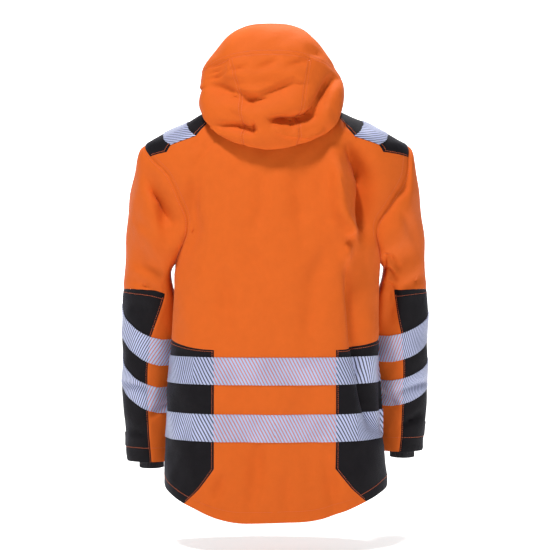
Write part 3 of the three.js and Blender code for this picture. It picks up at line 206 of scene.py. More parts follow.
# Folds of the source, then finer creases. Columns: x and z of both ends, depth of the hollow, half
# width, and in some rows another half width below the line
BACK_FOLDS = (
    (-139, -70, -166, -121, 9, 20), (-166, -121, -166, -215, 10, 20),
    (-112, -86, -124, -190, -6, 22), (-124, -190, -142, -235, -6, 20),
    (-150, -250, -155, -420, 6, 20), (-155, -420, -189, -580, 7, 22),
    (150, -120, 164, -270, 5, 24), (40, -650, 62, -480, 4, 30), (-70, -690, -58, -500, 4, 32),
)
BACK_CREASES = (
    (-136, -62, -158, -96, 6, 8), (-158, -96, -166, -122, 7, 8), (-166, -122, -168, -205, 7, 9),
    (-143, -223, -129, -236, 5, 8), (-129, -236, -134, -275, -4, 10),
    (-134, -275, -151, -420, 5, 10), (-157, -432, -166, -470, 6, 9),
    (-166, -470, -177, -520, 6, 9), (-177, -520, -188, -572, 5, 10),
    (-110, -90, -116, -180, -5, 11), (-116, -180, -142, -222, -5, 10),
    (153, -60, 134, -44, 1.8, 6, 9), (149, -95, 112, -48, 2.2, 6, 10),
    (150, -120, 160, -190, 1.8, 11), (20, -120, 34, -210, 2.5, 18),
    (-40, -130, -52, -240, 2.5, 17), (96, -300, 84, -410, 3, 17), (-70, -320, -58, -420, 2.5, 17),
    (30, -610, 44, -730, 3, 14), (-96, -620, -112, -735, 3.4, 14), (-24, -640, -18, -735, 2.4, 12),
    (70, -240, 20, -300, 2, 20), (-96, -240, -60, -330, 2.4, 20), (96, -660, 110, -700, 3, 10),
)
FRONT_FOLDS = (
    (118, -90, 128, -300, 7, 26), (-112, -80, -132, -280, 8, 26), (78, -660, 60, -430, 5, 30),
    (-84, -640, -66, -400, 5, 30),
)
FRONT_CREASES = (
    (110, -70, 122, -150, 3, 8), (122, -150, 134, -260, 3, 9), (-108, -66, -126, -160, 3.4, 8),
    (-126, -160, -140, -250, 3, 9), (40, -90, 52, -210, 2, 13), (-46, -100, -36, -230, 2, 13),
    (96, -330, 78, -430, 2, 14), (-92, -320, -80, -420, 1.8, 13), (50, -610, 66, -690, 2, 12),
    (-104, -600, -92, -690, 2.2, 12), (-60, -470, -44, -640, 1.6, 14),
)
SLEEVE_FOLDS = {
    LEFT: ((236, -110, 206, -152, 8, 16), (206, -152, 190, -215, 9, 18),
           (262, -250, 205, -300, 4, 22)),
    RIGHT: ((-244, -118, -219, -138, 7, 16), (-262, -245, -212, -275, 4, 20),
            (-214, -300, -222, -380, 4, 18)),
}
SLEEVE_CREASES = {
    LEFT: ((232, -108, 203, -153, 5, 7), (203, -153, 187, -186, 5, 7),
           (187, -186, 181, -206, 4, 7), (266, -180, 232, -214, 2.5, 9),
           (278, -300, 226, -322, 3, 7), (270, -268, 214, -292, 2.4, 7),
           (284, -352, 242, -362, 2, 6), (286, -500, 236, -512, 2.2, 7),
           (288, -590, 248, -600, 2.5, 6), (206, -540, 240, -566, 2, 7)),
    RIGHT: ((-240, -116, -218, -134, 5, 6), (-218, -134, -200, -176, 3, 8),
            (-236, -180, -262, -222, 2.5, 9), (-196, -262, -232, -282, 3.5, 6),
            (-200, -290, -226, -302, 3.5, 5), (-204, -318, -232, -326, 3, 5),
            (-206, -340, -228, -352, 3, 5), (-208, -366, -226, -372, 2.5, 5),
            (-282, -296, -238, -318, 3, 7), (-288, -500, -240, -514, 2, 7),
            (-284, -560, -246, -580, 2.5, 6), (-206, -520, -236, -548, 2, 7)),
}
HOOD_FOLDS = (
    (130, 62, 66, 46, 12, 15), (66, 46, -30, 54, 7, 13), (-112, 74, -70, 0, 7, 15),
    (8, -24, -68, -10, 8, 14), (100, -16, 42, -30, 7, 14),
)
HOOD_CREASES = (
    (129, 50, 66, 27, 9, 9, 24), (66, 27, 37, 21, 9, 9, 22), (37, 21, -33, 50, 8, 8, 20),
    (-111, 63, -92, 30, 7, 10, 8), (-92, 30, -73, -2, 8, 11, 8), (-73, -2, -66, -12, 6, 8, 6),
    (5, -22, -32, -26, 12, 8, 5), (-32, -26, -68, -13, 12, 9, 5),
    (-1, -33, -19, -42, -4, 6, 5), (-19, -42, -53, -45, -4, 6, 5), (-53, -45, -82, -35, -4, 6, 5),
    (106, -27, 70, -34, 8, 8, 6), (70, -34, 41, -40, 9, 8, 5), (41, -26, 42, -40, 5, 4, 4),
    (122, 86, 90, 92, 4, 4, 5), (124, 75, 93, 83, 4.5, 4, 5), (126, 64, 93, 75, 4, 4, 5),
    (30, 79, -1, 92, 3.5, 5, 9), (-24, 84, -59, 94, 3.5, 5, 9), (-96, 100, -118, 84, 2.5, 5, 7),
    (82, 76, 54, 81, 3, 4, 8), (-58, 113, -86, 107, 3, 5, 6), (100, 4, 66, -14, 3, 7, 12),
    (-84, 20, -98, -20, -3, 10, 10),
)
CREASE_GAIN = 2.7         # how much deeper than in the tables the cloth creases
HOOD_CREASE_GAIN = 1.9
FOLD_FADE = 0.5           # a fold is this deep at its ends, of its depth in the middle

# Drawcords: how far out along the eyelet, out level, and below the eyelet
CORD_ROUTE = (
    (0, 0, 0), (4.5, 0, 0), (0, 8.55, 2), (0, 9, 8), (0, 9, 13), (0, 9, 18), (0, 9, 24),
)
# Point where each cord leaves its eyelet, and the way it leaves
CORD_STARTS = {"left": ((126.35, -22.07, 51.03), (0.96, -0.25, -0.08)),
               "right": ((-116.42, -21.94, 51.04), (-0.97, -0.24, 0.08))}
CORD_RADIUS, CORD_SIDES, CORD_RINGS = 1.4, 16, 90

# Seams and unevenness
SEAM_DIP, SEAM_DIP_WIDTH = 0.8, 2.6
PUCKER, PUCKER_WIDTH, PUCKER_WAVE = 0.42, 9.0, 17.0
PUCKER_WAY = (1, 0.8, 1.1)
PUCKER_DRIFT, PUCKER_DRIFT_LENGTH = 1.7, 23
PUCKER_START = 3.0        # the cloth right at a seam doesn't pucker
SWAY_START = 14.0         # the cloth near a seam doesn't sway
SWAY = (                  # slow unevenness: size, then radians per millimetre in x, y and z
    (0.9, 0.042, 0.026, 0.034), (0.7, -0.068, 0.044, 0.052), (0.5, 0.102, -0.074, 0.09),
)


def column(names, rows, name):
    return np.array([row[names.index(name)] for row in rows], float)


def curve(at, value):
    """Smooth curve through the points of a table."""
    order = np.argsort(at, kind="stable")
    at, value = np.asarray(at, float)[order], np.asarray(value, float)[order]
    count = len(at)
    before = np.maximum(np.arange(count) - 1, 0)
    after = np.minimum(np.arange(count) + 1, count - 1)
    slope = (value[after] - value[before]) / (at[after] - at[before])

    def evaluate(t):
        t = np.asarray(t, float)
        i = np.clip(np.searchsorted(at, t, side="left") - 1, 0, count - 2)
        span = at[i + 1] - at[i]
        s = np.clip((t - at[i]) / span, 0, 1)
        rise = s * s * (3 - 2 * s)
        leave = s * (1 - s) ** 2 * span * slope[i]
        arrive = s * s * (s - 1) * span * slope[i + 1]
        return value[i] + (value[i + 1] - value[i]) * rise + leave + arrive

    return evaluate


def curves(names, rows):
    """A curve for each column of a table, along its first column."""
    at = column(names, rows, names[0])
    return {name: curve(at, column(names, rows, name)) for name in names[1:]}


def mix(a, b, t):
    return a + (b - a) * t


def smoothstep(t):
    return t * t * (3 - 2 * t)


def sin_deg(angle):
    return np.sin(np.radians(angle))


def cos_deg(angle):
    return np.cos(np.radians(angle))


def signed_power(value, power):
    return np.sign(value) * np.abs(value) ** power


def unit(vectors):
    return vectors / np.maximum(np.linalg.norm(vectors, axis=-1, keepdims=True), 1e-12)


def fold_depth(folds, x, z, gain=1.0):
    depth = np.zeros(np.shape(x))
    for x0, z0, x1, z1, deep, width, *lower in folds:
        dx, dz = x1 - x0, z1 - z0
        t = np.clip(((x - x0) * dx + (z - z0) * dz) / (dx * dx + dz * dz), 0, 1)
        above = z - z0 - t * dz
        off = np.hypot(x - x0 - t * dx, above)
        wide = np.where(above > 0, width, lower[0] if lower else width)
        depth += gain * deep * (FOLD_FADE + 2 * t * (1 - t)) * np.exp(-((off / wide) ** 2))
    return depth


# The body

SLOPE_STEP = 0.5
body = curves(BODY_COLUMNS, BODY_SECTIONS)


def half_width(side, z):
    return np.where(np.asarray(side) >= 0, body["left"](z), body["right"](z))


def half_depth(face, z):
    return np.where(np.asarray(face) >= 0, body["back"](z), body["front"](z))


def plain_body(angle, z):
    angle, z = np.broadcast_arrays(np.asarray(angle, float), np.asarray(z, float))
    across, deep = sin_deg(angle), cos_deg(angle)
    wide, thick = half_width(across, z), half_depth(deep, z)
    power = 2 / BODY_SQUARE
    return np.stack([wide * signed_power(across, power), thick * signed_power(deep, power), z], -1)


def body_surface(angle, z, fine=True):
    angle, z = np.broadcast_arrays(np.asarray(angle, float), np.asarray(z, float))
    point = plain_body(angle, z)
    across = plain_body(angle + SLOPE_STEP, z) - plain_body(angle - SLOPE_STEP, z)
    along = plain_body(angle, z + SLOPE_STEP) - plain_body(angle, z - SLOPE_STEP)
    out = unit(np.cross(across, along))
    facing = out[..., 0] * point[..., 0] + out[..., 1] * point[..., 1]
    out = np.where(facing[..., None] < 0, -out, out)
    back = BACK_FOLDS + (BACK_CREASES if fine else ())
    front = FRONT_FOLDS + (FRONT_CREASES if fine else ())
    x = point[..., 0]
    gain = CREASE_GAIN if fine else 1
    depth = np.where(cos_deg(angle) >= 0, fold_depth(back, x, z, gain),
                     fold_depth(front, x, z, gain))
    return point - out * depth[..., None]


def angle_at(side, x, z):
    share = np.clip(np.asarray(x) / half_width(side, z), 0, 1)
    return np.degrees(np.arcsin(share ** (BODY_SQUARE / 2)))


hem_curves = curves(HEM_COLUMNS, HEM)
armhole_curves = curves(ARMHOLE_COLUMNS, ARMHOLE)


def hem_at(side, angle):
    return hem_curves["left" if side > 0 else "right"](angle)


def armhole(side, turn):
    turn = np.asarray(turn, float)
    around = np.abs(turn)
    z = mix(SHOULDER_TIP_Z, ARMPIT_Z, (1 - cos_deg(around)) / 2)
    back = armhole_curves["back_left" if side > 0 else "back_right"](around)
    return np.where(turn >= 0, back, 180 - armhole_curves["front"](around)), z


def neck_seat(side, angle):
    angle = np.asarray(angle, float)
    corner = angle_at(side, NECK_X, NECK_Z)
    around = (180 - angle) / corner * 90
    low_z = NECK_Z - NECK_DROP * cos_deg(around)
    low_angle = 180 - angle_at(side, NECK_X * sin_deg(around), low_z)
    behind = angle <= 180 - corner
    return np.where(behind, angle, low_angle), np.where(behind, NECK_Z, low_z)


def side_top(angle):
    share = np.clip((angle - SIDE_TOP_LEVEL) / (90 - SIDE_TOP_LEVEL), 0, 1)
    return mix(SIDE_TOP_BACK_Z, SIDE_TOP_MID_Z, smoothstep(share))


def lower_row(side, row):
    points = []
    for k in range(COLUMNS + 1):
        even = 90 * k / COLUMNS
        if row > SIDE_TOP_ROW:
            z = mix(side_top(even), ARMPIT_Z, (row - SIDE_TOP_ROW) / CHEST_ROWS)
            points.append((even, z))
            continue
        hem = float(hem_at(side, angle_at(side, SIDE_HEM_X, SIDE_CORNER_Z)))
        if row < FIRST_LEVEL_ROW:
            seam_z = mix(hem, SIDE_CORNER_Z, row / FIRST_LEVEL_ROW)
        elif row < SIDE_TOP_ROW:
            seam_z = LEVEL_ROWS[row - FIRST_LEVEL_ROW]
        else:
            seam_z = side_top(even)
        below = min(max((SIDE_CORNER_Z - seam_z) / (SIDE_CORNER_Z - hem), 0), 1)
        seam = float(angle_at(side, mix(SIDE_SEAM_X, SIDE_HEM_X, below), seam_z))
        if k <= SEAM_COLUMNS:
            angle = seam * k / SEAM_COLUMNS
        else:
            angle = mix(seam, 90, (k - SEAM_COLUMNS) / (COLUMNS - SEAM_COLUMNS))
        points.append((angle, seam_z))
    return points


def armhole_turn(row):
    return mix(180, PATCH_TURN, (row - ARMPIT_ROW) / YOKE_ROWS)


def top_edge(side, face, k):
    if k > NECK_COLUMNS:
        return SHOULDER_SEAM[k - NECK_COLUMNS][:2]
    around = float(angle_at(side, NECK_X, NECK_Z)) * k / NECK_COLUMNS
    angle, z = neck_seat(side, around if face > 0 else 180 - around)
    return abs(float(plain_body(side * angle, z)[0])), float(z)


def arm_edge(side, face, row):
    angle, z = armhole(side, face * armhole_turn(row))
    return abs(float(plain_body(side * angle, z)[0])), float(z), float(angle)


def yoke_point(side, face, row, k):
    u, v = k / COLUMNS, (row - ARMPIT_ROW) / YOKE_ROWS
    edge = arm_edge(side, face, row)
    if k == COLUMNS:
        return edge[2], edge[1]
    top, centre = top_edge(side, face, k), top_edge(side, face, 0)
    corner, armpit = arm_edge(side, face, TOP_ROW), arm_edge(side, face, ARMPIT_ROW)
    bottom = (abs(float(plain_body(side * 90 * u, ARMPIT_Z)[0])), ARMPIT_Z)
    start = (0, ARMPIT_Z)
    left = (0, mix(ARMPIT_Z, centre[1], v))
    x, z = (
        mix(left[i], edge[i], u) + mix(bottom[i], top[i], v)
        - mix(mix(start[i], armpit[i], u), mix(centre[i], corner[i], u), v)
        for i in (0, 1)
    )
    angle = float(angle_at(side, x, z))
    return (angle if face > 0 else 180 - angle), z


def refined(rows):
    """The cells of a grid of parameters, each split evenly."""
    grid = np.array(rows, float)
    for axis in (0, 1):
        count = grid.shape[axis]
        at = np.arange((count - 1) * REFINE + 1) / REFINE
        low = np.minimum(at.astype(int), count - 2)
        share = at - low
        shape = [1, 1, 1]
        shape[axis] = -1
        share = share.reshape(shape)
        grid = np.take(grid, low, axis) * (1 - share) + np.take(grid, low + 1, axis) * share
    return grid


def move_edge(grid, exact):
    """Moves a grid's last column to exact places, and the columns before it less and less."""
    shift = exact - grid[:, -1]
    for k in range(REFINE):
        grid[:, -1 - k] += shift * (1 - k / REFINE)
    return grid


def body_quarter(side, face):
    rows = []
    for row in range(TOP_ROW + 1):
        if row > ARMPIT_ROW:
            points = [yoke_point(side, face, row, k) for k in range(COLUMNS + 1)]
        else:
            points = [(a if face > 0 else 180 - a, z) for a, z in lower_row(side, row)]
        if face < 0:
            z = points[0][1]
            points = [(180, z), (180 - float(angle_at(side, ZIP_HALF, z)), z)] + points[1:]
        rows.append(points)
    grid = refined(rows)
    at_row = np.arange(grid.shape[0]) / REFINE
    below = at_row < FIRST_LEVEL_ROW
    share = (at_row[below] / FIRST_LEVEL_ROW)[:, None]
    grid[below, :, 1] = mix(hem_at(side, grid[below, :, 0]), SIDE_CORNER_Z, share)
    # the armhole's own curve, which the sleeve shares
    above = at_row >= ARMPIT_ROW
    exact = np.stack(armhole(side, face * armhole_turn(at_row[above])), -1)
    grid[above] = move_edge(grid[above], exact)
    return body_surface(side * grid[..., 0], grid[..., 1])


def shoulder_patch(side):
    rows = []
    for k, (x, z, ridge) in enumerate(SHOULDER_SEAM):
        points = []
        for i in range(PATCH_COLUMNS + 1):
            over = 2 * i / PATCH_COLUMNS - 1
            if k == len(SHOULDER_SEAM) - 1:
                points.append([float(v) for v in armhole(side, -over * PATCH_TURN)])
            else:
                back = float(angle_at(side, x, z))
                angle = mix(back, 180 - back, i / PATCH_COLUMNS)
                points.append((angle, mix(ridge, z, over * over)))
        rows.append(points)
    grid = refined(rows)
    over = 2 * np.arange(grid.shape[1]) / (grid.shape[1] - 1) - 1
    # the columns run from the back over the shoulder to the front
    exact = np.stack(armhole(side, -over * PATCH_TURN), -1)
    grid = move_edge(grid.swapaxes(0, 1), exact).swapaxes(0, 1)
    return body_surface(side * grid[..., 0], grid[..., 1])


# Sleeves

CREASE_EDGE = 15          # degrees over which creases fade out at the sleeve's two edges
FRONT_CREASE_DROP = 14    # the creases in front are the other sleeve's, this much lower
HALVINGS = 40
TAB_SIDE_TURN = 100       # the panel's edge is measured on the tapes' level at this turn
sleeve = curves(SLEEVE_RING_COLUMNS, SLEEVE_RINGS)
panel_edge = curves(PANEL_EDGE_COLUMNS, PANEL_EDGE)


def sleeve_ring(side, ring, turn):
    ring, turn = np.broadcast_arrays(np.asarray(ring, float), np.asarray(turn, float))
    right = side < 0
    reach = mix(1, RIGHT_SLEEVE_REACH, np.clip(ring / LAST_RING, 0, 1)) if right else 1
    fade = 1 - smoothstep(np.clip(ring / WIDER_RINGS, 0, 1))
    wider = RIGHT_BODY_WIDER * fade if right else 0
    outer_x, outer_z = sleeve["outer_x"](ring), sleeve["outer_z"](ring) * reach
    inner_x, inner_z = sleeve["inner_x"](ring) + wider, sleeve["inner_z"](ring) * reach
    share = (1 + cos_deg(turn)) / 2
    y = sleeve["mid_y"](ring) + sleeve["deep"](ring) * sin_deg(turn)
    return np.stack([side * mix(inner_x, outer_x, share), y, mix(inner_z, outer_z, share)], -1)


def plain_sleeve(side, ring, turn, fine=False):
    point = sleeve_ring(side, ring, turn)
    angle, z = armhole(side, turn)
    start = body_surface(side * angle, z, fine) - sleeve_ring(side, 0, turn)
    blend = 1 - smoothstep(np.clip(np.asarray(ring, float) / BLEND_RINGS, 0, 1))
    return point + start * blend[..., None]


def sleeve_surface(side, ring, turn):
    point = plain_sleeve(side, ring, turn, fine=True)
    x, z = point[..., 0], point[..., 2]
    depth = fold_depth(SLEEVE_FOLDS[side] + SLEEVE_CREASES[side], x, z, CREASE_GAIN)
    front = fold_depth(SLEEVE_CREASES[-side], -x, z + FRONT_CREASE_DROP)
    depth = np.where(turn >= 0, depth, front) * np.clip(np.abs(turn) / CREASE_EDGE, 0, 1)
    depth = depth * np.clip((180 - np.abs(turn)) / CREASE_EDGE, 0, 1) * np.clip(ring, 0, 1)
    middle = (sleeve_ring(side, ring, 0) + sleeve_ring(side, ring, 180)) / 2
    return point - unit(point - middle) * depth[..., None]


def ring_at(side, turn, z):
    low, high = np.zeros(np.shape(turn)), np.full(np.shape(turn), float(LAST_RING))
    for _ in range(HALVINGS):
        middle = (low + high) / 2
        above = plain_sleeve(side, middle, turn)[..., 2] > z
        low, high = np.where(above, middle, low), np.where(above, high, middle)
    return (low + high) / 2


def sleeve_levels(side, turn):
    turn = np.asarray(turn, float)
    reach = 1 if side > 0 else RIGHT_SLEEVE_REACH
    inside = ((1 - cos_deg(turn)) / 2) ** 4
    levels = [PANEL_TOP_Z - PANEL_TOP_DROP * inside]
    for left_z, right_z, left_slant, right_slant in SLEEVE_TAPES:
        middle, slant = (left_z, left_slant) if side > 0 else (right_z, right_slant)
        top = middle - slant * cos_deg(turn - TAPE_LOW_TURN)
        levels += [top, top - TAPE_WIDTH / 2, top - TAPE_WIDTH]
    cuff = CUFF_Z * reach
    return levels + [cuff + CUFF_TAB_TOP + 0 * turn, cuff + CUFF_STITCH + 0 * turn]


def sleeve_turns(side, row):
    columns = np.arange(-SLEEVE_COLUMNS, SLEEVE_COLUMNS + 1)
    steps = np.abs(columns)
    patch = PATCH_COLUMNS // 2
    even = np.where(steps <= patch, PATCH_TURN * steps / patch,
                    mix(PATCH_TURN, 180, (steps - patch) / (SLEEVE_COLUMNS - patch)))
    edge = np.empty(len(columns))
    for i, k in enumerate(columns):
        levels = sleeve_levels(side, TAB_SIDE_TURN if k > 0 else -TAB_SIDE_TURN)
        level = levels[min(max(row - SLEEVE_TOP_ROW, 0), len(levels) - 1)]
        z = CUFF_Z if row >= CUFF_ROW else float(level)
        edge[i] = panel_edge["left" if k >= 0 and side > 0 else "right"](z)
    along = np.where(steps <= PANEL_COLUMN, edge * steps / PANEL_COLUMN,
                     mix(edge, 180, (steps - PANEL_COLUMN) / (SLEEVE_COLUMNS - PANEL_COLUMN)))
    turn = mix(even, along, min(row / SLEEVE_TOP_ROW, 1))
    return np.where(columns >= 0, turn, -turn)


def sleeve_grid(side):
    rows = []
    for row in range(CUFF_ROW + 1):
        turn = sleeve_turns(side, row)
        levels = sleeve_levels(side, turn)
        if row < SLEEVE_TOP_ROW:
            ring = UPPER_SLEEVE_ROWS[row] * ring_at(side, turn, levels[0])
        elif row < CUFF_ROW:
            ring = ring_at(side, turn, levels[row - SLEEVE_TOP_ROW])
        else:
            ring = np.full(len(turn), float(LAST_RING))
        ring[0] = ring[-1]
        rows.append(np.stack([ring, turn], -1))
    grid = refined(rows)
    points = sleeve_surface(side, grid[..., 0], grid[..., 1])
    points[:, 0] = points[:, -1]
    # the first row is the armhole's own curve
    angle, z = armhole(side, grid[0, :, 1])
    points[0] = body_surface(side * angle, z)
    points[0, 0] = points[0, -1]
    return points


# Collar and hood

def collar_grid(quarters, patches):
    def half(name):
        front = quarters["front", name][-1][:NECK_COLUMNS * REFINE + 1]
        over = patches[name][0][::-1]
        back = quarters["back", name][-1][:NECK_COLUMNS * REFINE + 1][::-1]
        return np.concatenate([front, over[1:], back[1:]])

    left, right = half("left"), half("right")
    seam = np.concatenate([left, right[::-1][1:]])
    rows = []
    for rise in np.arange(2 * REFINE + 1) / (2 * REFINE):
        x, y, z = seam.T
        narrow = mix(1, COLLAR_NARROW, rise)
        depth = np.where(y > 0, narrow, 1)
        wide = np.where(np.abs(x) <= ZIP_HALF + 1, 1, narrow)
        height = mix(z, z * COLLAR_LEVEL, rise) + COLLAR_HEIGHT * rise
        rows.append(np.stack([x * wide, y * depth, height], -1))
    return np.array(rows)


hood = curves(HOOD_COLUMNS, HOOD_HOOPS)


def hood_seat(side, angle):
    seat_angle, seat_z = neck_seat(side, angle)
    point = body_surface(side * seat_angle, seat_z - HOOD_BELOW_NECK, fine=False)
    out = unit(point * np.array([1, 1, 0]))
    out = unit(out + np.array([0, 0, 1]))
    rise = HOOD_ABOVE_CLOTH + HOOD_SIDE_RISE * sin_deg(angle)
    return point + out * np.asarray(rise)[..., None]


def hood_hoop(side, hoop, across):
    """A point of a hood hoop; across runs from 0 at the crown to 1 at the neck."""
    at = {name: float(hood[name](hoop)) for name in hood}
    seat = hood_seat(side, at["angle"])
    places = [-SEAM_AT, 0, SEAM_AT, SIDE_AT, LOW_AT, 1]
    start, full = INSET_HOOPS
    inset = HOOD_RIGHT_INSET * smoothstep(min(max((hoop - start) / (full - start), 0), 1))
    inset = inset if side < 0 else 0
    xs = [-at["seam_x"], 0, at["seam_x"], at["side_x"], at["low_x"] - inset, abs(float(seat[0]))]
    ys = [at["seam_y"], at["crown_y"], at["seam_y"], at["side_y"], at["low_y"], float(seat[1])]
    zs = [at["seam_z"], at["crown_z"], at["seam_z"], at["side_z"], at["low_z"], float(seat[2])]
    shift = HOOD_SHIFT * (1 - np.clip((across - SIDE_AT) / (1 - SIDE_AT), 0, 1))
    x = side * curve(places, xs)(across) + shift
    return np.stack([x, curve(places, ys)(across), curve(places, zs)(across)], -1)


def inside_body(point):
    x, y, z = point.T
    share = (np.abs(x / half_width(x, z)) ** BODY_SQUARE
             + np.abs(y / half_depth(y, z)) ** BODY_SQUARE)
    return (z <= NECK_Z) & (share < 1)


def hood_grid():
    steps = np.arange(HOOD_SEAM_COLUMNS + HOOD_SIDE_COLUMNS + 1)
    across = np.where(steps <= HOOD_SEAM_COLUMNS, SEAM_AT * steps / HOOD_SEAM_COLUMNS,
                      mix(SEAM_AT, 1, (steps - HOOD_SEAM_COLUMNS) / HOOD_SIDE_COLUMNS))
    coarse = np.concatenate([-across[::-1][:-1], across])
    grid = refined([[(hoop, a) for a in coarse] for hoop in HOOD_ROWS])
    rows = []
    for line in grid:
        hoop, reach = line[0, 0], np.abs(line[:, 1])
        halves = []
        for side in (RIGHT, LEFT):
            part = reach[line[:, 1] < 0] if side < 0 else reach[line[:, 1] >= 0]
            base = hood_hoop(side, min(hoop, LAST_HOOP_IN_TABLE), part)
            if hoop > LAST_HOOP_IN_TABLE:
                nape = hood_seat(side, NAPE_ANGLE * part)
                base = mix(base, nape, hoop - LAST_HOOP_IN_TABLE)
            halves.append(base)
        point = np.concatenate(halves)
        x, z = point[:, 0], point[:, 2]
        out = unit(point - np.array([0, 0, HOOD_CORE_Z]))
        on_bag = float(np.clip(hoop - FOLD_HOOPS[0], 0, 1)
                       * np.clip((FOLD_HOOPS[1] - hoop) * BAG_END, 0, 1))
        on_crease = float(np.clip((hoop - CREASE_HOOPS[0]) * CREASE_START, 0, 1)
                          * np.clip(CREASE_HOOPS[1] - hoop, 0, 1))
        edge = np.clip((1 - reach) / HOOD_EDGE, 0, 1)
        depth = fold_depth(HOOD_FOLDS, x, z) * on_bag
        depth += fold_depth(HOOD_CREASES, x, z, HOOD_CREASE_GAIN) * on_crease * edge
        point = point - out * depth[:, None]
        free = (reach < 1) & (hoop < LAST_HOOP)
        for _ in range(LIFTS):
            under = point - np.array([0, 0, HOOD_CLEAR])
            low = free & inside_body(under)
            if not low.any():
                break
            point[low, 2] += LIFT_STEP
        rows.append(point)
    return np.array(rows)


# The welded skin

WELD_STEPS, WELD_SHIFT = 50, 0.137    # points are one when they agree to a fiftieth of a mm
JUST_INSIDE = 1.001
MIN_LEAN = 0.5


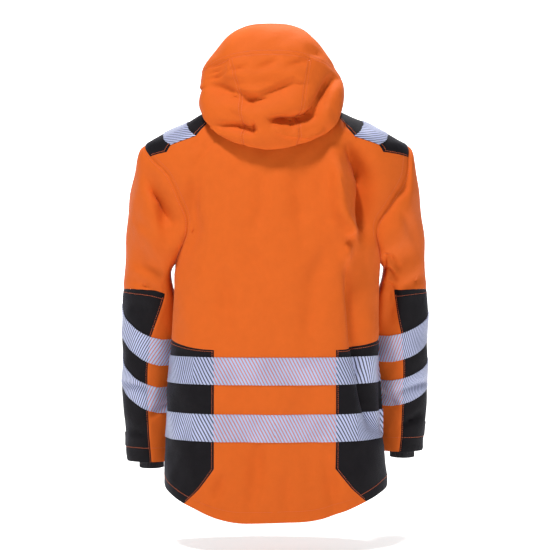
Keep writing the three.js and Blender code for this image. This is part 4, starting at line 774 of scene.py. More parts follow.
class Skin:
    """Grids of points with shared vertices; each cell belongs to a panel."""

    def __init__(self):
        self.points, self.by_place = [], {}
        self.quads, self.panels, self.uvs = [], [], []
        self.grids, self.rows, self.columns = [], [], []
        self.index = {}

    def vertex(self, point):
        place = tuple(int(math.floor(value * WELD_STEPS + WELD_SHIFT)) for value in point)
        if place not in self.by_place:
            self.by_place[place] = len(self.points)
            self.points.append(point)
        return self.by_place[place]

    def grid(self, name, rows, core, panel_of, flip_u=False):
        index = np.array([[self.vertex(point) for point in row] for row in rows])
        self.index[name] = index
        a, b = rows[:-1, :-1], rows[:-1, 1:]
        c, d = rows[1:, 1:], rows[1:, :-1]
        facing = (np.cross(c - a, d - b) * (a - core)).sum()
        u = np.zeros(rows.shape[:2])
        u[:, 1:] = np.cumsum(np.linalg.norm(rows[:, 1:] - rows[:, :-1], axis=-1), axis=1)
        u = np.repeat(u.mean(0)[None], len(rows), axis=0) * (-1 if flip_u else 1)
        v = np.zeros(rows.shape[:2])
        v[1:] = np.cumsum(np.linalg.norm(rows[1:] - rows[:-1], axis=-1), axis=0)
        v = np.repeat(v.mean(1)[:, None], rows.shape[1], axis=1)
        uv = np.stack([u, v], -1) * MM
        for r in range(len(rows) - 1):
            for k in range(rows.shape[1] - 1):
                corners = [(r, k), (r, k + 1), (r + 1, k + 1), (r + 1, k)]
                if facing < 0:
                    corners.reverse()
                quad = [index[i] for i in corners]
                if len(set(quad)) < 3:
                    continue
                self.quads.append(quad)
                self.uvs.append([uv[i] for i in corners])
                self.panels.append(panel_of(r // REFINE, k // REFINE))
                self.grids.append(name)
                self.rows.append(r // REFINE)
                self.columns.append(k // REFINE)

    def close(self):
        for name in ("points", "quads", "uvs", "panels", "grids", "rows", "columns"):
            setattr(self, name, np.array(getattr(self, name)))

    def find_normals(self):
        p = self.points[self.quads]
        self.face_normals = np.cross(p[:, 2] - p[:, 0], p[:, 3] - p[:, 1])
        is_arm = np.char.startswith(self.grids, "arm")
        total = np.zeros_like(self.points)
        for chosen in (is_arm, ~is_arm):
            part = np.zeros_like(self.points)
            for i in range(4):
                np.add.at(part, self.quads[chosen, i], self.face_normals[chosen])
            total += unit(part)
        self.normals = unit(total)

    def seams(self):
        """The points on seams and edges."""
        pairs = {}
        for quad, panel in zip(self.quads, self.panels):
            for i in range(4):
                key = tuple(sorted((quad[i], quad[(i + 1) % 4])))
                pairs.setdefault(key, []).append(panel)
        found = set()
        for key, panels in pairs.items():
            if len(panels) == 1 or panels[0] != panels[1]:
                found.update(key)
        return sorted(found)

    def dress(self):
        """Presses the seams in, puckers the cloth beside them and makes it a little uneven."""
        self.find_normals()
        seam = self.seams()
        tree = kdtree.KDTree(len(seam))
        for i in seam:
            tree.insert(self.points[i], i)
        tree.balance()
        off = np.array([tree.find(point)[2] for point in self.points])
        x, y, z = self.points.T
        depth = SEAM_DIP * np.exp(-((off / SEAM_DIP_WIDTH) ** 2))
        beside = np.exp(-((off / PUCKER_WIDTH) ** 2)) * (1 - np.exp(-((off / PUCKER_START) ** 2)))
        along = self.points @ np.array(PUCKER_WAY)
        drift = PUCKER_DRIFT * np.sin(z / PUCKER_DRIFT_LENGTH)
        depth += PUCKER * beside * np.sin(2 * math.pi * along / PUCKER_WAVE + drift)
        away = 1 - np.exp(-((off / SWAY_START) ** 2))
        for size, along_x, along_y, along_z in SWAY:
            depth += size * away * np.sin(along_x * x + along_y * y + along_z * z)
        self.points = self.points - self.normals * depth[:, None]
        self.find_normals()

    def place(self, name, row, k):
        """Point and outward direction at a fractional place of a grid."""
        index = self.index[name]
        row = np.clip(np.asarray(row, float), 0, index.shape[0] - JUST_INSIDE)
        k = np.clip(np.asarray(k, float), 0, index.shape[1] - JUST_INSIDE)
        row, k = np.broadcast_arrays(row, k)
        r0, k0 = row.astype(int), k.astype(int)
        s, t = (row - r0)[..., None], (k - k0)[..., None]

        def at(values):
            low = mix(values[index[r0, k0]], values[index[r0, k0 + 1]], t)
            high = mix(values[index[r0 + 1, k0]], values[index[r0 + 1, k0 + 1]], t)
            return mix(low, high, s)

        return at(self.points), unit(at(self.normals))

    def wall(self, name, chosen, low, high, materials, material_of=None):
        """A closed wall over some cells, between two distances from the skin."""
        quads, uvs = self.quads[chosen], self.uvs[chosen]
        used, local = np.unique(quads, return_inverse=True)
        local = local.reshape(quads.shape)
        normals = unit(self.face_normals[chosen])
        open_edges = {}
        for f, quad in enumerate(quads):
            for i in range(4):
                edge = (quad[i], quad[(i + 1) % 4])
                if edge[0] == edge[1]:
                    continue
                if open_edges.pop((edge[1], edge[0]), None) is None:
                    open_edges[edge] = (f, i)
        inward_sum = np.zeros((len(used), 3))
        first = np.zeros((len(used), 3))
        for (start, end), (f, i) in open_edges.items():
            edge = unit(self.points[end] - self.points[start])
            inward = np.cross(normals[f], edge)
            for corner in (local[f, i], local[f, (i + 1) % 4]):
                inward_sum[corner] += inward
                if not first[corner].any():
                    first[corner] = inward
        inward = unit(inward_sum)
        lean = np.maximum((inward * first).sum(1), MIN_LEAN)[:, None]
        base, out = self.points[used], self.normals[used]
        pulled = np.where(first.any(1)[:, None], inward * SEAM_GAP / 2 / lean, 0)
        count = len(used)
        verts = np.concatenate([base + out * high + pulled, base + out * low + pulled])
        faces = [list(q) for q in local]
        face_uvs = [list(uv) for uv in uvs]
        slots = list(material_of(chosen)) if material_of else [0] * len(quads)
        faces += [[int(i) + count for i in q[::-1]] for q in local]
        face_uvs += [list(uv[::-1]) for uv in uvs]
        rim_slots = []
        for (start, end), (f, i) in open_edges.items():
            a, b = local[f, i], local[f, (i + 1) % 4]
            faces.append([a, a + count, b + count, b])
            face_uvs.append([uvs[f, i], uvs[f, i], uvs[f, (i + 1) % 4], uvs[f, (i + 1) % 4]])
            rim_slots.append(slots[f])
        clean, clean_uvs, clean_slots = [], [], []
        for face, uv, slot in zip(faces, face_uvs, 2 * slots + rim_slots):
            keep = [i for i in range(len(face)) if face[i] != face[i - 1]]
            if len(keep) >= 3:
                clean.append([int(face[i]) for i in keep])
                clean_uvs.append([uv[i] for i in keep])
                clean_slots.append(slot)
        return make_piece(name, verts, clean, materials, clean_uvs, clean_slots)


SHARP_ANGLE = 50


def make_piece(name, verts, faces, materials, uvs=None, slots=None):
    mesh = bpy.data.meshes.new(name)
    mesh.from_pydata((np.asarray(verts) * MM).tolist(), [], faces)
    if uvs is not None:
        layer = mesh.uv_layers.new(name="cut")
        flat = np.array([value for face in uvs for uv in face for value in uv], np.float32)
        layer.data.foreach_set("uv", flat)
    for material in materials:
        mesh.materials.append(material)
    if slots is not None:
        mesh.polygons.foreach_set("material_index", np.array(slots, np.int32))
    mesh.polygons.foreach_set("use_smooth", np.ones(len(mesh.polygons), bool))
    mesh.set_sharp_from_angle(angle=math.radians(SHARP_ANGLE))
    mesh.validate()
    mesh.update()
    piece = bpy.data.objects.new(name, mesh)
    bpy.context.scene.collection.objects.link(piece)
    return piece


# Materials

SHEEN_ROUGHNESS = 0.4


def principled(name, colour, roughness, metallic=0.0, sheen=0.0, sheen_tint=None, specular=0.5):
    material = bpy.data.materials.new(name)
    material.use_nodes = True
    shader = material.node_tree.nodes["Principled BSDF"]
    shader.inputs["Base Color"].default_value = (*colour, 1)
    shader.inputs["Roughness"].default_value = roughness
    shader.inputs["Metallic"].default_value = metallic
    shader.inputs["Specular IOR Level"].default_value = specular
    shader.inputs["Sheen Weight"].default_value = sheen
    shader.inputs["Sheen Roughness"].default_value = SHEEN_ROUGHNESS
    if sheen_tint:
        shader.inputs["Sheen Tint"].default_value = (*sheen_tint, 1)
    material.diffuse_color = (*colour, 1)
    return material, material.node_tree, shader


def node(tree, kind, **values):
    made = tree.nodes.new(kind)
    for key, value in values.items():
        if key in made.inputs:
            made.inputs[key].default_value = value
        else:
            setattr(made, key, value)
    return made


def maths(tree, operation, a, b=None):
    made = node(tree, "ShaderNodeMath", operation=operation)
    for i, value in enumerate((a, b)):
        if value is None:
            continue
        if isinstance(value, (int, float)):
            made.inputs[i].default_value = value
        else:
            tree.links.new(value, made.inputs[i])
    return made.outputs[0]


def cut_place(tree):
    """The two lengths along the cut, in metres."""
    place = node(tree, "ShaderNodeUVMap", uv_map="cut")
    split = node(tree, "ShaderNodeSeparateXYZ")
    tree.links.new(place.outputs[0], split.inputs[0])
    return split.outputs[0], split.outputs[1]


def noise(tree, scale, detail=3.0, roughness=0.55):
    place = node(tree, "ShaderNodeTexCoord")
    made = node(tree, "ShaderNodeTexNoise", Scale=scale, Detail=detail, Roughness=roughness)
    tree.links.new(place.outputs["Object"], made.inputs["Vector"])
    return made.outputs["Fac"]


def bump(tree, height, strength, distance, under=None):
    made = node(tree, "ShaderNodeBump", Strength=strength, Distance=distance)
    tree.links.new(height, made.inputs["Height"])
    if under:
        tree.links.new(under, made.inputs["Normal"])
    return made.outputs["Normal"]


def ramp(tree, factor, low, high, first, second):
    made = node(tree, "ShaderNodeValToRGB")
    made.color_ramp.elements[0].position = low
    made.color_ramp.elements[1].position = high
    made.color_ramp.elements[0].color = (*first, 1)
    made.color_ramp.elements[1].color = (*second, 1)
    tree.links.new(factor, made.inputs[0])
    return made.outputs[0]


def scaled(colour, factor):
    return tuple(min(value * factor, 1) for value in colour)


def threads(tree, pitch):
    """Height of a plain weave along the cut."""
    u, v = cut_place(tree)
    over = maths(tree, "SINE", maths(tree, "MULTIPLY", u, 2 * math.pi / pitch))
    under = maths(tree, "SINE", maths(tree, "MULTIPLY", v, 2 * math.pi / pitch))
    return maths(tree, "MULTIPLY", over, under)


WEAVE, KNIT_WEAVE = 0.0011, 0.0016
CRUMPLE = 0.35


def shell_cloth(name, colour, roughness, sheen, sheen_tint, mottle=0.025):
    """Woven cloth: slightly uneven colour, a soft crumple, a finer one, and the threads."""
    material, tree, shader = principled(name, colour, roughness, sheen=sheen,
                                        sheen_tint=sheen_tint, specular=0.1)
    tone = ramp(tree, noise(tree, 60, 5), 0.3, 0.72, scaled(colour, 1 - mottle),
                scaled(colour, 1 + mottle))
    tree.links.new(tone, shader.inputs["Base Color"])
    creased = bump(tree, noise(tree, 26, 4, 0.6), CRUMPLE, 0.004)
    fine = bump(tree, noise(tree, 90, 3, 0.6), CRUMPLE * 0.6, 0.0012, creased)
    tree.links.new(bump(tree, threads(tree, WEAVE), 0.25, 0.0002, fine), shader.inputs["Normal"])
    return material


STRIPE_PITCH = 0.0058
STRIPE_LEAN = 0.488       # sideways run of a stripe for one length down
STRIPE_SHARE = 0.6
STRIPE_BLUR = 0.06


def striped_tape(name, stripe, between):
    material, tree, shader = principled(name, stripe, 0.38, metallic=0.15, specular=0.5)
    u, v = cut_place(tree)
    lean = maths(tree, "MULTIPLY", v, STRIPE_LEAN)
    phase = maths(tree, "DIVIDE", maths(tree, "SUBTRACT", u, lean), STRIPE_PITCH)
    within = maths(tree, "FRACT", phase)
    middle = maths(tree, "ABSOLUTE", maths(tree, "SUBTRACT", within, 0.5))
    colour = ramp(tree, maths(tree, "MULTIPLY", middle, 2), STRIPE_SHARE - STRIPE_BLUR,
                  STRIPE_SHARE + STRIPE_BLUR, stripe, between)
    tree.links.new(colour, shader.inputs["Base Color"])
    raised = maths(tree, "LESS_THAN", middle, STRIPE_SHARE / 2)
    soft = bump(tree, noise(tree, 40, 3), 0.35, 0.002)
    tree.links.new(bump(tree, raised, 0.4, 0.00015, soft), shader.inputs["Normal"])
    return material


def knit_cloth(name, colour):
    material, tree, shader = principled(name, colour, 0.9, sheen=0.25, sheen_tint=(0.5, 0.5, 0.6))
    tree.links.new(ramp(tree, noise(tree, 300, 2), 0.3, 0.7, scaled(colour, 0.7),
                        scaled(colour, 1.5)), shader.inputs["Base Color"])
    tree.links.new(bump(tree, threads(tree, KNIT_WEAVE), 0.5, 0.0004), shader.inputs["Normal"])
    return material


def speckled(name, colour, roughness, metallic, scale, depth):
    material, tree, shader = principled(name, colour, roughness, metallic)
    tree.links.new(ramp(tree, noise(tree, scale, 3), 0.35, 0.7, scaled(colour, 0.85),
                        scaled(colour, 1.15)), shader.inputs["Base Color"])
    tree.links.new(bump(tree, noise(tree, scale * 2, 2), 0.3, depth), shader.inputs["Normal"])
    return material


ORANGE = (0.62, 0.112, 0.013)
BLACK = (0.0072, 0.0062, 0.0078)
KNIT_BLACK = (0.012, 0.011, 0.013)
MATERIALS = {
    "orange": shell_cloth("orange_cloth", ORANGE, 0.7, 0.06, (1.0, 0.62, 0.42)),
    "black": shell_cloth("black_cloth", BLACK, 0.66, 0.05, (0.42, 0.44, 0.72), mottle=0.15),
    "tape_on_black": striped_tape("tape_on_black", (0.46, 0.50, 0.72), (0.045, 0.05, 0.09)),
    "tape_on_orange": striped_tape("tape_on_orange", (0.36, 0.47, 0.68), (0.50, 0.17, 0.16)),
    "knit": knit_cloth("knit_rib", KNIT_BLACK),
    "zip": knit_cloth("zip_weave", (0.014, 0.013, 0.015)),
    "cord": knit_cloth("cord_braid", KNIT_BLACK),
    "thread_orange": speckled("orange_thread", (0.62, 0.12, 0.03), 0.6, 0.0, 900, 0.0001),
    "thread_grey": speckled("grey_thread", (0.36, 0.4, 0.5), 0.5, 0.0, 900, 0.0001),
    "plastic": speckled("black_plastic", (0.015, 0.014, 0.016), 0.38, 0.0, 220, 0.0001),
    "metal": speckled("zip_metal", (0.16, 0.165, 0.18), 0.36, 0.85, 260, 0.0001),
}

# The cloth

skin = Skin()
quarters, patches, sleeves = {}, {}, {}
for side, name in SIDES:
    quarters["back", name] = body_quarter(side, 1)
    quarters["front", name] = body_quarter(side, -1)
    patches[name] = shoulder_patch(side)
    sleeves[name] = sleeve_grid(side)

BODY_CORE = np.array([0, 0, ARMPIT_Z])
PATCH_CORE_X = 120
ARM_CORE_RING = 6


def back_panel_of(name):
    def panel(row, k):
        return f"side_panel_{name}" if row < SIDE_TOP_ROW and k >= SEAM_COLUMNS else "back_panel"
    return panel


def front_panel_of(name):
    def panel(row, k):
        if k == 0:
            return f"zip_tape_{name}"
        beside = row < SIDE_TOP_ROW and k >= SEAM_COLUMNS
        return f"side_panel_{name}" if beside else f"front_{name}"
    return panel


def sleeve_panel_of(name):
    def panel(row, k):
        outer = row >= SLEEVE_TOP_ROW and abs(k + 0.5 - SLEEVE_COLUMNS) < PANEL_COLUMN
        return f"sleeve_outer_{name}" if outer else f"sleeve_{name}"
    return panel


for side, name in SIDES:
    skin.grid(f"back_{name}", quarters["back", name], BODY_CORE, back_panel_of(name),
              flip_u=side < 0)
    skin.grid(f"front_{name}", quarters["front", name], BODY_CORE, front_panel_of(name),
              flip_u=side > 0)
    skin.grid(f"patch_{name}", patches[name], np.array([side * PATCH_CORE_X, 0, ARMPIT_Z]),
              lambda row, k, n=name: f"shoulder_patch_{n}")
    arm_core = (sleeve_ring(side, ARM_CORE_RING, 0) + sleeve_ring(side, ARM_CORE_RING, 180)) / 2
    skin.grid(f"arm_{name}", sleeves[name], arm_core, sleeve_panel_of(name), flip_u=side > 0)

collar_rows = collar_grid(quarters, patches)
LAST_COLLAR = (collar_rows.shape[1] - 1) // REFINE - 1


def collar_panel(row, k):
    if k == 0:
        return "zip_tape_left"
    return "zip_tape_right" if k == LAST_COLLAR else "collar"


def hood_panel(row, k):
    if row < BRIM_ROWS:
        return "hood_brim"
    steps = k + 0.5 - HOOD_SEAM_COLUMNS - HOOD_SIDE_COLUMNS
    if abs(steps) < HOOD_SEAM_COLUMNS:
        return "hood_centre"
    return "hood_side_left" if steps > 0 else "hood_side_right"


skin.grid("collar", collar_rows, np.array([0, 0, NECK_Z]), collar_panel)
skin.grid("hood", hood_grid(), np.array([0, 0, HOOD_CORE_Z]), hood_panel)
skin.close()
skin.dress()

# Each panel of the skin with its cloth and its colour slot
ORANGE_SHELL, BLACK_SHELL = ("orange", "orange_shell"), ("black", "black_shell")
PANELS = dict.fromkeys(("back_panel", "collar", "hood_brim", "hood_centre"), ORANGE_SHELL)
for _, name in SIDES:
    PANELS |= {
        f"front_{name}": ORANGE_SHELL, f"side_panel_{name}": BLACK_SHELL,
        f"shoulder_patch_{name}": BLACK_SHELL, f"sleeve_{name}": ORANGE_SHELL,
        f"sleeve_outer_{name}": BLACK_SHELL, f"zip_tape_{name}": ("zip", "zip_tape"),
        f"hood_side_{name}": ORANGE_SHELL,
    }


def finish_cloth(piece, node_name):
    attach(piece, "jacket")
    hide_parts(node_name)


for node_name, (cloth, slot_name) in PANELS.items():
    chosen = skin.panels == node_name
    piece = skin.wall(f"{node_name}_cloth", chosen, -CLOTH, 0, [MATERIALS[cloth]])
    finish_cloth(piece, node_name)


# Tapes and tabs

def under_tape(chosen):
    """0 where a tape lies on black cloth, 1 where it lies on orange."""
    return [0 if panel.startswith(("side_panel", "sleeve_outer", "shoulder_patch")) else 1
            for panel in skin.panels[chosen]]


def starts(word):
    return np.char.startswith(skin.grids, word)


def between(first, count):
    return (skin.rows >= first) & (skin.rows < first + count)


def strip(node_name, chosen, thick, materials, material_of=None):
    piece = skin.wall(f"{node_name}_strip", chosen, SEAM_GAP, SEAM_GAP + thick, materials,
                      material_of)
    finish_cloth(piece, node_name)


on_body = (starts("back") | starts("front")) & ~np.char.startswith(skin.panels, "zip")
tapes = {
    "body_tape_lower": on_body & between(LOWER_TAPE_ROW, 2),
    "body_tape_upper": on_body & between(UPPER_TAPE_ROW, 2),
}
for _, name in SIDES:
    for which, row in zip(("upper", "lower"), TAPE_ROWS):
        tapes[f"sleeve_tape_{which}_{name}"] = starts(f"arm_{name}") & between(row, 2)
    tapes[f"shoulder_tape_{name}"] = starts(f"patch_{name}") & between(TAPE_FROM_POINT, 2)
for node_name, chosen in tapes.items():
    both = [MATERIALS["tape_on_black"], MATERIALS["tape_on_orange"]]
    strip(node_name, chosen, TAPE_WALL, both, under_tape)
for _, name in SIDES:
    chosen = (starts(f"arm_{name}") & between(TAB_ROW, 1) & (skin.columns < SLEEVE_COLUMNS)
              & (skin.columns >= SLEEVE_COLUMNS - TAB_COLUMNS))
    strip(f"cuff_tab_{name}", chosen, TAB_WALL, [MATERIALS["black"]])


# Knit cuffs

KNIT_HALF_X, KNIT_HALF_Y, KNIT_HANG, KNIT_LEFT_IN = 24, 36, 13, 7
KNIT_RIBS, RIB_STEPS, RIB_HEIGHT, RIB_START = 46, 6, 0.55, 0.25
KNIT_ROWS = 14
KNIT_SLOPE = 0.7
KNIT_CLEAR = 0.6
KNIT_RADIUS, KNIT_LENGTH = 30, 45


def knit_cuff(side, name):
    arm = f"arm_{name}"
    rows, columns = skin.index[arm].shape
    count = KNIT_RIBS * RIB_STEPS
    around = np.arange(count + 1) / count
    k = around * (columns - 1)
    top, out = skin.place(arm, np.full(len(k), rows - 1 - REFINE), k)
    edge, _ = skin.place(arm, np.full(len(k), rows - 1.0), k)
    centre = edge[:-1].mean(0)
    centre[0] -= KNIT_LEFT_IN if side > 0 else 0
    coarse = sleeve_turns(side, CUFF_ROW)
    turns = np.radians(np.interp(k / REFINE, np.arange(len(coarse)), coarse))
    start = top - out * (CLOTH + KNIT_CLEAR)
    end = np.stack([centre[0] + side * KNIT_HALF_X * np.cos(turns),
                    centre[1] + KNIT_HALF_Y * np.sin(turns),
                    np.full(len(k), centre[2] - KNIT_HANG)], -1)
    ribs = np.cos(around * 2 * math.pi * KNIT_RIBS)
    outward = unit(np.stack([side * np.cos(turns), np.sin(turns), 0 * turns], -1))
    layers = []
    for inside in (0, KNIT_WALL):
        grid = []
        for down in np.arange(KNIT_ROWS + 1) / KNIT_ROWS:
            narrow = math.sin(min(down / KNIT_SLOPE, 1) * math.pi / 2)
            flat = mix(start, end, narrow)
            flat[:, 2] = mix(start[:, 2], end[:, 2], down)
            ribbed = RIB_HEIGHT * (ribs - 1) * min(down / RIB_START, 1) if inside == 0 else 0 * ribs
            grid.append(flat + outward * (ribbed - inside)[:, None])
        layers.append(np.array(grid)[:, :-1])
    verts = np.concatenate([layer.reshape(-1, 3) for layer in layers])
    inner = len(verts) // 2
    width, length = 2 * math.pi * KNIT_RADIUS * MM, KNIT_LENGTH * MM
    faces, uvs = [], []
    for r in range(KNIT_ROWS):
        for c in range(count):
            places = [(r, c), (r, c + 1), (r + 1, c + 1), (r + 1, c)]
            quad = [row * count + at % count for row, at in places]
            uv = [(at / count * width, -row / KNIT_ROWS * length) for row, at in places]
            faces += [quad, [i + inner for i in quad[::-1]]]
            uvs += [uv, uv[::-1]]
    for r in (0, KNIT_ROWS):
        for c in range(count):
            a, b = r * count + c, r * count + (c + 1) % count
            rim = [a, b, b + inner, a + inner]
            faces.append(rim[::-1] if r else rim)
            uvs.append([(0, 0), (MM, 0), (MM, MM), (0, MM)])
    a, b, c = (verts[faces[0][i]] for i in range(3))
    if np.dot(np.cross(b - a, c - a), a - centre) < 0:
        faces = [face[::-1] for face in faces]
        uvs = [uv[::-1] for uv in uvs]
    piece = make_piece(f"knit_cuff_{name}_cloth", verts, faces, [MATERIALS["knit"]], uvs)
    finish_cloth(piece, f"knit_cuff_{name}")


for side, name in SIDES:
    knit_cuff(side, name)


# Stitches and zip teeth

# A stitch along its length: place, and fullness there; and across it: side, and height
STITCH_ENDS = ((-0.5, 0.55), (-0.22, 1.0), (0.22, 1.0), (0.5, 0.55))
STITCH_SECTION = ((-0.5, -0.35, 0), (-0.32, 0.5, 1), (0.32, 0.5, 1), (0.5, -0.35, 0))


class Dashes:
    """Many small stitches in one mesh."""

    def __init__(self):
        self.verts, self.faces = [], []

    def add(self, centre, along, out, length, width, height):
        across = np.cross(out, along)
        start = len(self.verts)
        for place, full in STITCH_ENDS:
            spine = centre + along * length * place
            for beside, up, top in STITCH_SECTION:
                rise = up * full if top else up
                self.verts.append(spine + across * width * beside * full + out * height * rise)
        last = start + 4 * (len(STITCH_ENDS) - 1)
        for a in range(start, last, 4):
            for j in range(4):
                k = (j + 1) % 4
                self.faces.append([a + j, a + k, a + 4 + k, a + 4 + j])
        self.faces.append([start + 3, start + 2, start + 1, start])
        self.faces.append([last, last + 1, last + 2, last + 3])

    def piece(self, name, material, slot_name):
        made = make_piece(name, np.array(self.verts), self.faces, [material])
        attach(made, "jacket")


STITCH_PITCH, STITCH_LENGTH = 3.6, 2.7
STITCH_WIDTH, STITCH_HEIGHT, STITCH_ABOVE = 0.75, 0.6, 0.1
STITCH_POINTS, STITCH_REACH = 600, 3
threads_made = {name: Dashes() for name in ("orange", "grey")}


def run_along(points):
    steps = np.linalg.norm(np.diff(points, axis=0), axis=1)
    return np.concatenate([[0], np.cumsum(steps)])


def stitch(colour, name, rows, columns, above=STITCH_ABOVE):
    """A row of stitches along fractional places of a grid, given in the source's cells."""
    at, fine = np.linspace(0, 1, len(rows)), np.linspace(0, 1, STITCH_POINTS)
    row, k = np.interp(fine, at, rows), np.interp(fine, at, columns)
    points, out = skin.place(name, row * REFINE, k * REFINE)
    run = run_along(points)
    if run[-1] < STITCH_PITCH * 2:
        return
    for place in np.arange(STITCH_PITCH / 2, run[-1], STITCH_PITCH):
        i = min(int(np.searchsorted(run, place)), STITCH_POINTS - 1)
        before, after = max(i - STITCH_REACH, 0), min(i + STITCH_REACH, STITCH_POINTS - 1)
        along = unit(points[after] - points[before])
        threads_made[colour].add(points[i] + out[i] * above, along, out[i], STITCH_LENGTH,
                                 STITCH_WIDTH, STITCH_HEIGHT)


def line(first, last, count=2):
    return np.linspace(first, last, count)


def level(place):
    return line(place, place)


# Places of the rows of stitches, in the source's cells
HEM_STITCH = 20
SEAM_STITCH, PANEL_STITCH, PATCH_STITCH, ARMHOLE_STITCH = 0.16, 0.18, 0.14, 0.35
TOP_STITCH, YOKE_STITCH, SLEEVE_STITCH = 0.22, 0.3, 0.15
TAPE_EDGES = (0.07, 1.93)
PATCH_TAPE_IN, LINE_IN = 0.1, 0.05
BRIM_STITCHES = (0.25, 1.9, 2.15)
COLLAR_STITCH = 1.85
ON_TAPE = SEAM_GAP + TAPE_WALL

for side, name in SIDES:
    for face in ("back", "front"):
        grid_name = f"{face}_{name}"
        first = LINE_IN + (1 if face == "front" else 0)
        columns = line(first, COLUMNS, 40)
        angles = columns / COLUMNS * 90
        if face == "front":
            angles = 180 - angles
        up = HEM_STITCH * FIRST_LEVEL_ROW / (SIDE_CORNER_Z - hem_at(side, angles))
        dark = columns >= SEAM_COLUMNS
        stitch("orange", grid_name, up[~dark], columns[~dark])
        stitch("orange", grid_name, up[dark], columns[dark])
        stitch("orange", grid_name, line(0.2, SIDE_TOP_ROW - 0.1), level(SEAM_COLUMNS + SEAM_STITCH))
        stitch("orange", grid_name, level(SIDE_TOP_ROW - TOP_STITCH), line(SEAM_COLUMNS + 0.1, COLUMNS))
        for low in (LOWER_TAPE_ROW, UPPER_TAPE_ROW):
            for edge in TAPE_EDGES:
                stitch("grey", grid_name, level(low + edge), line(first, COLUMNS), ON_TAPE)
        stitch("orange", grid_name, line(ARMPIT_ROW, TOP_ROW), level(COLUMNS - YOKE_STITCH))
    patch, arm = f"patch_{name}", f"arm_{name}"
    for k in (PATCH_STITCH, PATCH_COLUMNS - PATCH_STITCH):
        stitch("orange", patch, line(0.1, len(SHOULDER_SEAM) - 1.1), level(k))
    for row in (TAPE_FROM_POINT + PATCH_TAPE_IN, TAPE_TO_POINT - PATCH_TAPE_IN):
        stitch("grey", patch, level(row), line(0.1, PATCH_COLUMNS - 0.1), ON_TAPE)
    whole = line(0, 2 * SLEEVE_COLUMNS)
    low, high = SLEEVE_COLUMNS - PANEL_COLUMN, SLEEVE_COLUMNS + PANEL_COLUMN
    stitch("orange", arm, level(SLEEVE_TOP_ROW + SLEEVE_STITCH), line(low, high))
    for k in (low + PANEL_STITCH, high - PANEL_STITCH):
        stitch("orange", arm, line(SLEEVE_TOP_ROW + 0.1, CUFF_ROW), level(k))
    for row in (CUFF_ROW - 1, ARMHOLE_STITCH):
        stitch("orange", arm, level(row), whole)
    for row in TAPE_ROWS:
        for edge in TAPE_EDGES:
            stitch("grey", arm, level(row + edge), whole, ON_TAPE)
hood_width = 2 * (HOOD_SEAM_COLUMNS + HOOD_SIDE_COLUMNS)
for row in BRIM_STITCHES:
    stitch("orange", "hood", level(row), line(0.2, hood_width - 0.2))
for seam_k in (HOOD_SIDE_COLUMNS, HOOD_SIDE_COLUMNS + 2 * HOOD_SEAM_COLUMNS):
    for beside in (-SEAM_STITCH, SEAM_STITCH):
        stitch("orange", "hood", line(BRIM_ROWS + 0.2, len(HOOD_ROWS) - 3), level(seam_k + beside))
stitch("orange", "collar", level(COLLAR_STITCH), line(1.2, LAST_COLLAR - 0.2))
threads_made["orange"].piece("stitches_orange", MATERIALS["thread_orange"], "orange_shell")
threads_made["grey"].piece("stitches_grey", MATERIALS["thread_grey"], "reflective_tape")

TOOTH_PITCH, TOOTH_X, TOOTH_ABOVE = 3.0, 1.0, 0.5
TOOTH_LENGTH, TOOTH_WIDTH, TOOTH_HEIGHT = 3.2, 1.7, 1.4
for side, name in SIDES:
    teeth = Dashes()
    grid_name = f"front_{name}"
    rows = line(0.3, skin.index[grid_name].shape[0] - 1, 900)
    points, out = skin.place(grid_name, rows, np.full(len(rows), 0.5))
    collar_up = line(0, 2 * REFINE - 0.4, 90)
    column_at = 0.5 if side > 0 else collar_rows.shape[1] - 1.5
    more, more_out = skin.place("collar", collar_up, np.full(len(collar_up), column_at))
    points, out = np.concatenate([points, more]), np.concatenate([out, more_out])
    run = run_along(points)
    start = TOOTH_PITCH / 2 * (1 if side > 0 else 2)
    for place in np.arange(start, run[-1], TOOTH_PITCH):
        i = min(int(np.searchsorted(run, place)), len(points) - 1)
        centre = points[i].copy()
        centre[0] = side * TOOTH_X
        teeth.add(centre + out[i] * TOOTH_ABOVE, np.array([1.0, 0, 0]), out[i], TOOTH_LENGTH,
                  TOOTH_WIDTH, TOOTH_HEIGHT)
    teeth.piece(f"zip_teeth_{name}", MATERIALS["plastic"], "plastic")


# Drawcords

def cord_path(start, out):
    start, out = np.array(start), unit(np.array(out))
    flat = unit(out * np.array([1, 1, 0]))
    route = np.array([start + out * far + flat * away - np.array([0, 0, below])
                      for far, away, below in CORD_ROUTE])
    run = run_along(route)
    along = line(0, run[-1], CORD_RINGS)
    path = np.stack([curve(run, route[:, i])(along) for i in range(3)], -1)
    return path, np.cross(flat, [0, 0, 1])


def cord_tube(name, path, across):
    forward = unit(np.gradient(path, axis=0))
    outward = unit(np.cross(across, forward))
    turn = 2 * math.pi * np.arange(CORD_SIDES) / CORD_SIDES
    rings = (path[:, None] + CORD_RADIUS * np.cos(turn)[None, :, None] * outward[:, None]
             + CORD_RADIUS * np.sin(turn)[None, :, None] * across)
    faces, uvs = [], []
    round_step = 2 * math.pi * CORD_RADIUS * MM / CORD_SIDES
    along_step = cord_length(path) / (CORD_RINGS - 1)
    for ring in range(CORD_RINGS - 1):
        for k in range(CORD_SIDES):
            places = [(k, ring), (k + 1, ring), (k + 1, ring + 1), (k, ring + 1)]
            faces.append([v * CORD_SIDES + u % CORD_SIDES for u, v in places])
            uvs.append([(u * round_step, v * along_step) for u, v in places])
    last = (CORD_RINGS - 1) * CORD_SIDES
    faces += [list(range(CORD_SIDES))[::-1], [last + k for k in range(CORD_SIDES)]]
    uvs += [[(0, 0)] * CORD_SIDES] * 2
    return make_piece(name, rings.reshape(-1, 3), faces, [MATERIALS["cord"]], uvs)


def cord_length(path):
    return float(run_along(path)[-1]) * MM


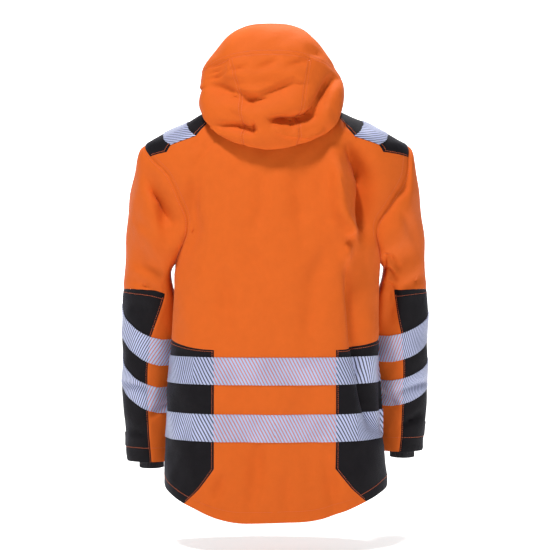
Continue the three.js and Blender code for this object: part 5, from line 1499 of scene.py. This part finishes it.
for name, (start, out) in CORD_STARTS.items():
    path, across = cord_path(start, out)
    piece = cord_tube(f"hood_cord_{name}_braid", path, across)
    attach(piece, "jacket")
    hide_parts(f"hood_cord_{name}")


# Eyelets, cord locks, cord ends, slider and pull: the source's solids, with better materials

FITTING_MATERIALS = {"zip_slider": "metal", "zip_pull": "metal", "hood_eyelet": "metal",
                     "cord_lock": "plastic", "cord_end": "plastic"}
for node_name, cad_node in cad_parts.items():
    for start, material_name in FITTING_MATERIALS.items():
        if node_name.startswith(start):
            for material_slot in cad_node.material_slots:
                material_slot.material = MATERIALS[material_name]


# Floor and light

STAGE_ROUGHNESS = 0.9
FLOOR_HALF = 30.0
BACKDROP_Y, BACKDROP_HALF, BACKDROP_TOP = -7.0, 4.5, 5.0
MIDDLE = (0, 0, -0.3)
KEY_SIZE, KEY_POWER = 0.5, 90
FILL_SIZE = 1.6
WORLD_STRENGTH = 0.16


def stage(name, corners, grey, glow):
    """A glowing white sheet behind or under the jacket."""
    material, _, shader = principled(name, (grey, grey, grey), STAGE_ROUGHNESS)
    shader.inputs["Emission Color"].default_value = (1, 1, 1, 1)
    shader.inputs["Emission Strength"].default_value = glow
    mesh = bpy.data.meshes.new(name)
    mesh.from_pydata(corners, [], [[0, 1, 2, 3]])
    mesh.materials.append(material)
    sheet = bpy.data.objects.new(name, mesh)
    bpy.context.scene.collection.objects.link(sheet)


def area_light(name, at, size, power):
    data = bpy.data.lights.new(name, "AREA")
    data.shape = "DISK"
    data.size = size
    data.energy = power
    lamp = bpy.data.objects.new(name, data)
    lamp.location = at
    lamp.rotation_euler = (Vector(MIDDLE) - Vector(at)).to_track_quat("-Z", "Y").to_euler()
    bpy.context.scene.collection.objects.link(lamp)


stage("floor", [(x * FLOOR_HALF, y * FLOOR_HALF, FLOOR_Z)
                for x, y in ((-1, -1), (1, -1), (1, 1), (-1, 1))], 0.92, 0.6)
stage("backdrop", [(x * BACKDROP_HALF, BACKDROP_Y, z) for x, z in (
    (1, FLOOR_Z), (-1, FLOOR_Z), (-1, BACKDROP_TOP), (1, BACKDROP_TOP))], 0.9, 1.0)

area_light("key", (0.7, 1.45, 2.5), KEY_SIZE, KEY_POWER)
area_light("fill", (-1.8, 2.6, 0.4), FILL_SIZE, 8)
area_light("front_key", (-0.5, -1.3, 2.6), KEY_SIZE, KEY_POWER)
area_light("front_fill", (1.8, -2.6, 0.4), FILL_SIZE, 12)

world = bpy.data.worlds.new("studio")
bpy.context.scene.world = world
world.use_nodes = True
world.node_tree.nodes["Background"].inputs[0].default_value = (1, 1, 1, 1)
world.node_tree.nodes["Background"].inputs[1].default_value = WORLD_STRENGTH
bpy.context.scene.view_settings.view_transform = "Standard"
